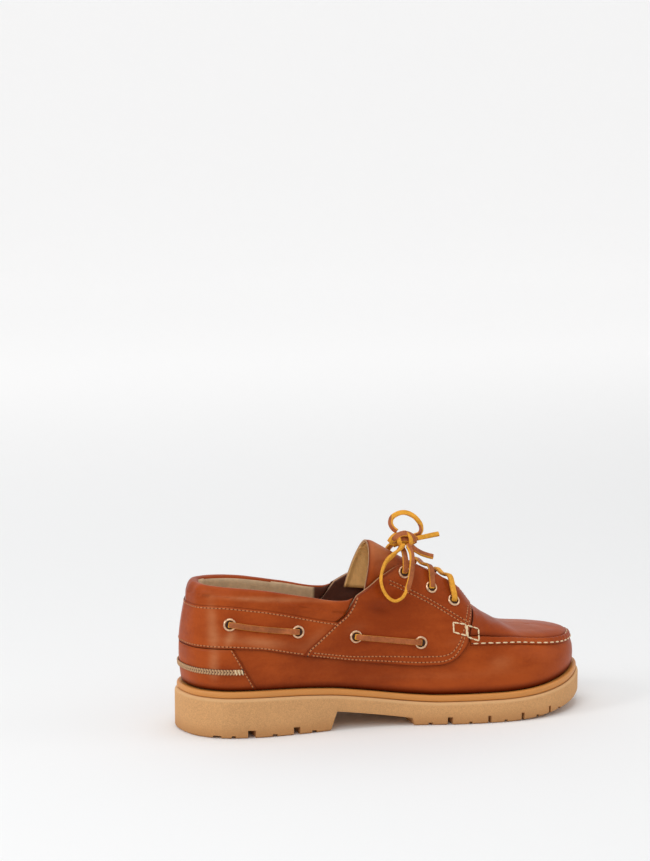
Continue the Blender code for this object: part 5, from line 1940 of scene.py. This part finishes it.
def lace_tube(route, width, thickness, broad, grain, spacing=0.0008, corner=0.42):
    """Flat lace along a route. broad gives the way its broad side faces, and grain its brown side's."""
    point, length = smooth_path(route)
    steps = max(8, round(length / spacing))
    turns, wave_depth, waves = 20, 0.00012, 260.0
    bm = bmesh.new()
    bmesh.ops.create_grid(bm, x_segments=steps, y_segments=turns, size=0.5)
    side_layer = bm.verts.layers.float.new("grain")
    centres = [point(k / steps) for k in range(steps + 1)]
    frames = []
    for k in range(steps + 1):
        heading = (centres[min(steps, k + 1)] - centres[max(0, k - 1)]).normalized()
        over = broad(k / steps).cross(heading).normalized()
        frames.append((over, heading.cross(over).normalized()))
    for vert in bm.verts:
        k = round((vert.co.x + 0.5) * steps)
        turn = 2 * math.pi * round((vert.co.y + 0.5) * turns) / turns
        over, out = frames[k]
        wide = math.copysign(abs(math.cos(turn)) ** corner, math.cos(turn)) * width / 2
        high = -math.copysign(abs(math.sin(turn)) ** corner, math.sin(turn)) * thickness / 2
        wavy = wave_depth * noise.noise(centres[k] * waves)
        vert.co = centres[k] + over * wide + out * (high + wavy)
        way = (over * math.cos(turn) - out * math.sin(turn)).normalized()
        vert[side_layer] = smooth_step(way.dot(grain(k / steps)), 0.25, 0.75)
    bmesh.ops.remove_doubles(bm, verts=bm.verts[:], dist=MERGE_DISTANCE)
    close_ends(bm)
    return bm, centres, length


def through_table(rows):
    """Direction that turns smoothly through rows of a share and a direction."""
    knots = [row[0] for row in rows]

    def at(share):
        k, t = segment(knots, min(knots[-1], max(knots[0], share)))
        t = smooth_step(t, 0.0, 1.0)
        return Vector(rows[k][1]).lerp(Vector(rows[k + 1][1]), t).normalized()

    return at


def turned(way):
    """The opposite of a direction that changes along a lace."""
    return lambda share: -way(share)


def make_side_lace(name, side, first, second, under, replaced):
    """Lace that shows between two eyelets, over their rims and down into both."""
    sizes = bpy.context.scene.shoe_sizes
    count, over_leather, over_rim, sag_depth = 14, 0.0002, 0.0004, 0.0005
    length = math.hypot((second[0] - first[0]) * SOLE_LENGTH, (second[1] - first[1]) * INSTEP_RISE)
    on_leather = under + sizes.lace_thickness / 2 + over_leather
    rim = RIM_HEIGHT + over_rim
    route, outs = [], []
    shares = [0.004, 0.0045] + even_shares(count)[1:-1] + [0.9955, 0.996]
    for n, share in enumerate(shares):
        q, v = seat_on_skin(side, mix(first[0], second[0], share), mix(first[1], second[1], share))
        reach = min(share, 1 - share) * length
        if n in (0, len(shares) - 1):
            lift = under - HOLE_DEPTH
        elif n in (1, len(shares) - 2):
            lift = under + LIP_HEIGHT
        else:
            lift = on_leather + rim * (1 - smooth_step(reach, 1.2 * EYELET_OUTER, 2.1 * EYELET_OUTER))
        sag = sag_depth * math.sin(math.pi * share)
        route.append(face(q, v, lift) - Vector((0, 0, sag)))
        outs.append((share, skin_normal(q, v)))
    facing = through_table([outs[0], outs[len(outs) // 2], outs[-1]])
    bm, _, _ = lace_tube(route, sizes.lace_width, sizes.lace_thickness, facing, facing)
    return piece(name, bm, ["lace"], [replaced], "lace_leather")


# How far the middle of a throat lace hangs below its two ends
THROAT_DIP = 0.0008


def make_throat_lace(name, along, rise, crown, grain_up, replaced):
    """Lace that crosses the throat, out of one eyelet, over the edges and the tongue, and into the other."""
    sizes = bpy.context.scene.shoe_sizes
    thick = sizes.lace_thickness
    (q_a, v_a), (q_b, v_b) = (seat_on_skin(side, along, rise) for side in (-1, 1))
    over_ring, edge_v = SADDLE_FACE + 0.0013 + thick / 2, 0.985
    edge_a, edge_b = (face(q, edge_v, over_ring + RING_CLEARANCE) for q in (q_a, q_b))
    if crown is None:
        x = (edge_a.x + edge_b.x) / 2
        on_tongue = tongue_height(x, 0.0) + LACE_CLEARANCE + thick / 2
        crown = (x, 0.0, max(on_tongue, (edge_a.z + edge_b.z) / 2 - THROAT_DIP))
    route = []
    for q, v, edge in ((q_a, v_a, edge_a), (q_b, v_b, edge_b)):
        hole, lip = face(q, v, SADDLE_FACE - HOLE_DEPTH), face(q, v, SADDLE_FACE + LIP_HEIGHT)
        up = face(q, mix(v, edge_v, 0.45), over_ring + 0.0002)
        half = [hole, lip, up, edge]
        route = route + half if not route else route + [Vector(crown)] + half[::-1]
    out_a, out_b = skin_normal(q_a, v_a), skin_normal(q_b, v_b)
    ridge = Vector((0.35, 0.0, 0.94))
    facing = through_table([(0.0, out_a), (0.30, out_a), (0.5, ridge), (0.70, out_b), (1.0, out_b)])
    grain = facing if grain_up else turned(facing)
    bm, _, _ = lace_tube(route, sizes.lace_width, thick, facing, grain)
    return piece(name, bm, ["lace"], [replaced], "lace_leather")


def make_bow():
    """The knot and the two halves of the bow, each a loop that runs through it into a short cut end."""
    sizes = bpy.context.scene.shoe_sizes
    left, near = -VIEW_RIGHT, (VIEW_SIDE + 0.9 * VIEW_RIGHT).normalized()
    outer_route = BOW_LOOP_OUTER + [(0.0182, -0.0098, 0.1217)] + BOW_END_OUTER
    inner_route = BOW_LOOP_INNER + [(0.0222, -0.0042, 0.1259)] + BOW_END_INNER
    outer_broad = through_table([
        (0.0, (-0.6, -0.5, 0.6)), (0.12, left), (0.36, left), (0.50, (0.3, -0.35, -0.85)), (0.60, VIEW_SIDE),
        (0.76, VIEW_SIDE), (0.85, (0.1, -0.8, 0.5)), (1.0, (0.1, -0.75, 0.65))])
    outer_grain = through_table([
        (0.0, left), (0.12, (-0.2, 0.9, 0.0)), (0.50, (0.0, 0.9, -0.3)), (0.56, near), (0.78, near),
        (0.85, (0.1, -0.6, 0.7)), (1.0, (0.1, -0.2, 0.9))])
    inner_broad = through_table([
        (0.0, (-0.8, -0.5, 0.2)), (0.25, (-0.75, -0.65, 0.1)), (0.45, (0.0, -0.55, 0.8)),
        (0.62, (0.7, -0.7, 0.0)), (0.80, (0.3, -0.9, 0.3)), (1.0, (0.0, -0.75, 0.65))])
    inner_grain = through_table([
        (0.0, (-0.95, -0.2, 0.1)), (0.25, (-0.95, -0.1, 0.0)), (0.45, (0.0, 0.6, -0.8)),
        (0.60, (-0.5, -0.85, 0.0)), (0.74, (-0.5, -0.85, 0.0)), (0.84, (0.0, 0.9, -0.4)),
        (1.0, (0.0, 0.9, -0.4))])
    knot = make_knot()
    made = []
    for word, route, broad, grain, width, carried in (
            ("outer", outer_route, outer_broad, outer_grain, 0.0038, [knot]),
            ("inner", inner_route, inner_broad, inner_grain, 0.0034, [])):
        bm, centres, length = lace_tube(route, width, sizes.bow_thickness, broad, grain, spacing=0.0006)
        nodes = [f"lace_loop_{word}", f"lace_end_{word}"]
        item = piece(f"bow_lace_{word}", bm, ["lace"], nodes, "lace_leather")
        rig.cord(item, exit=route[0], length=length, diameter=width, far_end="bare", stiffness="limp",
                lay="hanging", path=[tuple(point) for point in centres], with_pieces=carried)
        made.append(item)
    return made + [knot]


def make_knot():
    """Crossed turns of lace over a core.

    Each row of strands is a route, a width and thickness, the way the broad side faces, or None for
    outward from the knot's centre, and whether that side is the brown one."""
    whole = bmesh.new()
    strands = [
        ([(0.0050, -0.0070, 0.1222), (0.0062, -0.0092, 0.1268), (0.0108, -0.0096, 0.1300),
          (0.0160, -0.0092, 0.1300), (0.0204, -0.0088, 0.1272), (0.0220, -0.0074, 0.1226)],
         0.0040, 0.0020, (0.0, -0.75, 0.66), True),
        ([(0.0158, -0.0030, 0.1298), (0.0168, -0.0082, 0.1303), (0.0180, -0.0110, 0.1268),
          (0.0178, -0.0108, 0.1222), (0.0170, -0.0080, 0.1202)],
         0.0038, 0.0018, None, False),
        ([(0.0112, -0.0028, 0.1288), (0.0098, -0.0070, 0.1292), (0.0092, -0.0106, 0.1262),
          (0.0104, -0.0112, 0.1226), (0.0124, -0.0086, 0.1204)],
         0.0034, 0.0018, None, False),
        ([(0.0040, -0.0046, 0.1240), (0.0058, -0.0056, 0.1270), (0.0090, -0.0050, 0.1290),
          (0.0130, -0.0040, 0.1286)],
         0.0034, 0.0018, (0.0, -0.5, 0.85), False),
        ([(0.0060, -0.0062, 0.1236), (0.0110, -0.0066, 0.1252), (0.0160, -0.0064, 0.1252),
          (0.0214, -0.0058, 0.1240)],
         0.0062, 0.0056, (0.0, -0.6, 0.8), True),
    ]
    centre = Vector((0.0132, -0.0064, 0.1252))

    def outward(route):
        point, _ = smooth_path(route)
        return lambda share: (point(share) - centre).normalized()

    for route, width, thick, way, grain_out in strands:
        broad = through_table([(0.0, way), (1.0, way)]) if way else outward(route)
        grain = broad if grain_out else turned(broad)
        bm, _, _ = lace_tube(route, width, thick, broad, grain, spacing=0.0007)
        add_to(whole, bm)
    return piece("bow_knot", whole, ["lace"], ["lace_knot"], "lace_leather")


# Studio

# The picture's camera, its frame in pixels, and the pixel that the shoe's origin falls on
CAMERA_AZIMUTH, CAMERA_ELEVATION, CAMERA_DISTANCE = math.radians(-18.28), math.radians(14.57), 1.735
FRAME_WIDTH, FRAME_HEIGHT, FOCAL_PIXELS, SENSOR = 650, 861, 2410.0, 36.0
ORIGIN_PIXEL = (381.1, 711.8)


def make_camera():
    """Camera at the viewing angle of the picture, turned so that the shoe's origin falls on its pixel."""
    flat = math.cos(CAMERA_ELEVATION)
    spot = CAMERA_DISTANCE * Vector((math.sin(CAMERA_AZIMUTH) * flat, -math.cos(CAMERA_AZIMUTH) * flat,
                                     math.sin(CAMERA_ELEVATION)))
    a = (ORIGIN_PIXEL[0] - FRAME_WIDTH / 2) / FOCAL_PIXELS
    b = -(ORIGIN_PIXEL[1] - FRAME_HEIGHT / 2) / FOCAL_PIXELS
    towards = -spot.normalized()
    size = math.sqrt(a * a + b * b + 1)
    pitch = math.asin(size * towards.z / math.sqrt(1 + b * b)) - math.atan(b)
    offset = math.atan2(a, math.cos(pitch) - b * math.sin(pitch))
    yaw = math.atan2(-towards.x, towards.y) + offset
    data = bpy.data.cameras.new("camera")
    data.sensor_fit = "AUTO"
    data.sensor_width = SENSOR
    data.lens = FOCAL_PIXELS * SENSOR / FRAME_HEIGHT
    data.clip_start = 0.01
    item = bpy.data.objects.new("camera", data)
    item.location = spot
    item.rotation_euler = (math.pi / 2 + pitch, 0.0, yaw)
    bpy.context.scene.collection.objects.link(item)
    bpy.context.scene.camera = item


def make_light(name, spot, aim, width, height, power):
    """Soft lamp with a rectangular face, aimed at a spot."""
    data = bpy.data.lights.new(name, "AREA")
    data.shape = "RECTANGLE"
    data.size = width
    data.size_y = height
    data.energy = power
    item = bpy.data.objects.new(name, data)
    item.location = spot
    item.rotation_euler = (Vector(aim) - Vector(spot)).to_track_quat("-Z", "Y").to_euler()
    bpy.context.scene.collection.objects.link(item)


def make_backdrop():
    """Paper floor that sweeps up behind the shoe."""
    width, front, back, bend, top = 14.0, -5.0, 4.0, 1.5, 5.0
    bm = bmesh.new()
    bmesh.ops.create_grid(bm, x_segments=4, y_segments=60, size=0.5)
    flat, curve = back - front, bend * math.pi / 2
    total = flat + curve + top
    for vert in bm.verts:
        along = (vert.co.y + 0.5) * total
        x = vert.co.x * width
        if along <= flat:
            vert.co = (x, front + along, 0.0)
        elif along <= flat + curve:
            turn = (along - flat) / bend
            vert.co = (x, back + bend * math.sin(turn), bend * (1 - math.cos(turn)))
        else:
            vert.co = (x, back + bend, bend + along - flat - curve)
    item = object_of("backdrop", bm, ["paper"])
    item.data.shade_smooth()
    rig.stage(item)


def make_lights():
    """Even light from all round and four soft lamps."""
    world = bpy.data.worlds.new("studio")
    world.use_nodes = True
    sky = world.node_tree.nodes["Background"]
    sky.inputs["Color"].default_value = (1.0, 1.0, 1.0, 1.0)
    sky.inputs["Strength"].default_value = bpy.context.scene.shoe_sizes.fill_light
    bpy.context.scene.world = world
    make_light("key", (-1.0, -1.5, 1.7), (0.0, 0.0, 0.05), 1.2, 1.2, 9.0)
    make_light("top", (0.0, 0.1, 2.0), (0.0, 0.0, 0.05), 1.4, 0.9, 8.0)
    make_light("heel_side", (-1.9, -0.3, 1.2), (-0.05, 0.0, 0.06), 0.5, 0.9, 10.0)
    make_light("toe_side", (1.7, -0.5, 0.9), (0.05, 0.0, 0.05), 0.8, 1.2, 3.0)
    bpy.context.scene.view_settings.view_transform = "Standard"


# Add-on

def length(name, description, default, least):
    """Length that a user can change."""
    return FloatProperty(name=name, description=description, default=default, min=least, unit="LENGTH")


class ShoeSizes(bpy.types.PropertyGroup):
    """Sizes of the small parts."""

    stitch_pitch: length("Stitch pitch", "Distance from stitch to stitch on the seams", 0.0027, 0.001)
    stitch_length: length("Stitch length", "Length of each stitch on the seams", 0.0020, 0.0005)
    thread_width: length("Thread width", "Width of the seam thread", 0.0009, 0.0002)
    toe_stitch_length: length("Toe stitch length", "Length of each stitch on the toe", 0.0042, 0.001)
    toe_thread_width: length("Toe thread width", "Width of the thick toe thread", 0.0012, 0.0004)
    lace_width: length("Lace width", "Broad side of the lace", LACE_WIDTH, 0.002)
    lace_thickness: length("Lace thickness", "Narrow side of the lace", LACE_THICKNESS, 0.001)
    bow_thickness: length("Bow lace thickness", "Narrow side of the lace in the bow", 0.0022, 0.001)
    fill_light: FloatProperty(name="Fill light", description="Strength of the even light from all round",
                              default=0.62, min=0.0, subtype="FACTOR")


def tone(name, description, values):
    """Colour that a user can change."""
    return FloatVectorProperty(name=name, description=description, default=values, subtype="COLOR", size=3,
                               min=0.0, max=1.0)


class ShoeColours(bpy.types.PropertyGroup):
    """Colours of the finishes."""

    leather: tone("Leather", "Waxed leather of the upper", (0.370, 0.061, 0.008))
    edge: tone("Cut edge", "Inked edge of the leather", (0.085, 0.022, 0.008))
    raw_edge: tone("Raw edge", "Pale edge of the lining and tongue", (0.46, 0.24, 0.11))
    lining: tone("Lining", "Pale lining round the heel", (0.74, 0.52, 0.31))
    # Dark leather behind the fastening, its colour partly painted shade
    inner_leather: tone("Inner leather", "Dark leather behind the fastening", (0.085, 0.022, 0.010))
    tongue_lining: tone("Tongue lining", "Golden lining of the tongue", (1.0, 0.58, 0.21))
    sole: tone("Sole", "Matt gum of the lug sole", (0.63, 0.335, 0.137))
    welt: tone("Lip", "Smooth lip of the sole", (0.62, 0.25, 0.052))
    seam_thread: tone("Seam thread", "Tonal thread of the seams", (0.56, 0.22, 0.085))
    toe_thread: tone("Toe thread", "Cream thread of the toe", (0.90, 0.70, 0.44))
    heel_thread: tone("Heel thread", "Beige thread of the heel seam", (0.56, 0.34, 0.18))
    # Painted shade of the needle holes and of the inside of the eyelets
    hole: tone("Holes", "Needle holes and the inside of the eyelets", (0.045, 0.014, 0.006))
    brass: tone("Brass", "Eyelets", (0.78, 0.53, 0.34))
    lace_grain: tone("Lace grain side", "Brown side of the lace", (0.40, 0.115, 0.035))
    lace_flesh: tone("Lace flesh side", "Golden side and edges of the lace", (0.80, 0.36, 0.035))
    backdrop: tone("Backdrop", "Studio paper", (0.865, 0.87, 0.873))


# What one step of the shoe leaves for a later one
SHARED = {}


class SHOE_OT_sole(bpy.types.Operator):
    """Makes the lug sole, its lip and the inner sock"""

    bl_idname = "shoe.sole"
    bl_label = "Sole"

    def execute(self, context):
        make_outsole()
        make_welt()
        make_footbed()
        return {"FINISHED"}


class SHOE_OT_upper(bpy.types.Operator):
    """Makes the vamp with its inner wall"""

    bl_idname = "shoe.upper"
    bl_label = "Vamp"

    def execute(self, context):
        make_wall()
        return {"FINISHED"}


class SHOE_OT_quarters(bpy.types.Operator):
    """Makes the heel counter, the rear quarter and the padded collar"""

    bl_idname = "shoe.quarters"
    bl_label = "Quarters and collar"

    def execute(self, context):
        SHARED["counter"] = make_counter()
        SHARED["quarter"] = make_quarter()
        make_collar()
        return {"FINISHED"}


class SHOE_OT_saddles(bpy.types.Operator):
    """Makes the eyestay panels of both sides"""

    bl_idname = "shoe.saddles"
    bl_label = "Saddles"

    def execute(self, context):
        SHARED["saddles"] = {side: saddle_places(side) for side in (-1, 1)}
        for side, word in ((-1, "outer"), (1, "inner")):
            make_saddle(side, word, SHARED["saddles"][side])
        return {"FINISHED"}


class SHOE_OT_toe(bpy.types.Operator):
    """Makes the toe apron and its raised seam"""

    bl_idname = "shoe.toe"
    bl_label = "Toe"

    def execute(self, context):
        make_apron()
        make_toe_seam()
        return {"FINISHED"}


class SHOE_OT_tongue(bpy.types.Operator):
    """Makes the tongue"""

    bl_idname = "shoe.tongue"
    bl_label = "Tongue"

    def execute(self, context):
        make_tongue()
        return {"FINISHED"}


class SHOE_OT_stitching(bpy.types.Operator):
    """Sews the seams, the toe and the heel"""

    bl_idname = "shoe.stitching"
    bl_label = "Stitching"

    def execute(self, context):
        make_seam_stitches(SHARED["quarter"], SHARED["counter"], SHARED["saddles"])
        make_toe_stitches()
        make_heel_braid()
        return {"FINISHED"}


class SHOE_OT_fastening(bpy.types.Operator):
    """Makes the eyelets and the laces that run between them"""

    bl_idname = "shoe.fastening"
    bl_label = "Eyelets and laces"

    def execute(self, context):
        for side, word in ((-1, "outer"), (1, "inner")):
            for k, spot in enumerate(SIDE_EYELETS):
                under = QUARTER_FACE if k < 2 else SADDLE_FACE
                name = f"side_eyelet_{word}_{k + 1}"
                make_eyelet(f"ring_{name}", side, *spot, under, name)
            for k, spot in enumerate(THROAT_EYELETS):
                name = f"throat_eyelet_{word}_{k + 1}"
                make_eyelet(f"ring_{name}", side, *spot, SADDLE_FACE, name)
            rear = ("rear", SIDE_EYELETS[:2], QUARTER_FACE)
            front = ("front", SIDE_EYELETS[2:], SADDLE_FACE)
            for end, pair, under in (rear, front):
                name = f"side_lace_{word}_{end}"
                make_side_lace(f"strip_{name}", side, *pair, under, name)
        for k, (spot, crown) in enumerate(zip(THROAT_EYELETS, (None, None, TOP_CROWN))):
            name = f"throat_lace_{k + 1}"
            make_throat_lace(f"strip_{name}", *spot, crown, k > 0, name)
        return {"FINISHED"}


class SHOE_OT_bow(bpy.types.Operator):
    """Ties the bow"""

    bl_idname = "shoe.bow"
    bl_label = "Bow"

    def execute(self, context):
        make_bow()
        return {"FINISHED"}


class SHOE_OT_studio(bpy.types.Operator):
    """Sets the camera, the paper backdrop and the soft lights"""

    bl_idname = "shoe.studio"
    bl_label = "Studio"

    def execute(self, context):
        make_camera()
        make_backdrop()
        make_lights()
        return {"FINISHED"}


OPERATORS = (SHOE_OT_studio, SHOE_OT_bow, SHOE_OT_sole, SHOE_OT_upper, SHOE_OT_quarters, SHOE_OT_saddles,
             SHOE_OT_toe, SHOE_OT_tongue, SHOE_OT_stitching, SHOE_OT_fastening)


class SHOE_PT_panel(bpy.types.Panel):
    """Sizes, colours and pieces of the shoe"""

    bl_label = "Boat Shoe"
    bl_idname = "SHOE_PT_panel"
    bl_space_type = "VIEW_3D"
    bl_region_type = "UI"
    bl_category = "Shoe"

    def draw(self, context):
        for group in (context.scene.shoe_sizes, context.scene.shoe_colours):
            column = self.layout.column(align=True)
            for name in group.__annotations__:
                column.prop(group, name)
        for operator in OPERATORS:
            self.layout.operator(operator.bl_idname)


CLASSES = (ShoeSizes, ShoeColours) + OPERATORS + (SHOE_PT_panel,)


def register():
    for one in CLASSES:
        bpy.utils.register_class(one)
    bpy.types.Scene.shoe_sizes = PointerProperty(type=ShoeSizes)
    bpy.types.Scene.shoe_colours = PointerProperty(type=ShoeColours)


def unregister():
    del bpy.types.Scene.shoe_colours
    del bpy.types.Scene.shoe_sizes
    for one in reversed(CLASSES):
        bpy.utils.unregister_class(one)


def plain_box(box):
    """Corners of a box as plain lists."""
    return [[float(value) for value in corner] for corner in box]


def main():
    register()
    bpy.ops.shoe.studio()
    bpy.ops.shoe.bow()
    bpy.ops.shoe.sole()
    bpy.ops.shoe.upper()
    bpy.ops.shoe.quarters()
    bpy.ops.shoe.saddles()
    bpy.ops.shoe.toe()
    bpy.ops.shoe.tongue()
    bpy.ops.shoe.stitching()
    bpy.ops.shoe.fastening()
    with open(SIZE_FILE, "w") as file:
        json.dump({"cad": plain_box(SOLID_BOX), "visual": plain_box(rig.bounds())}, file)


if __name__ == "__main__":
    main()
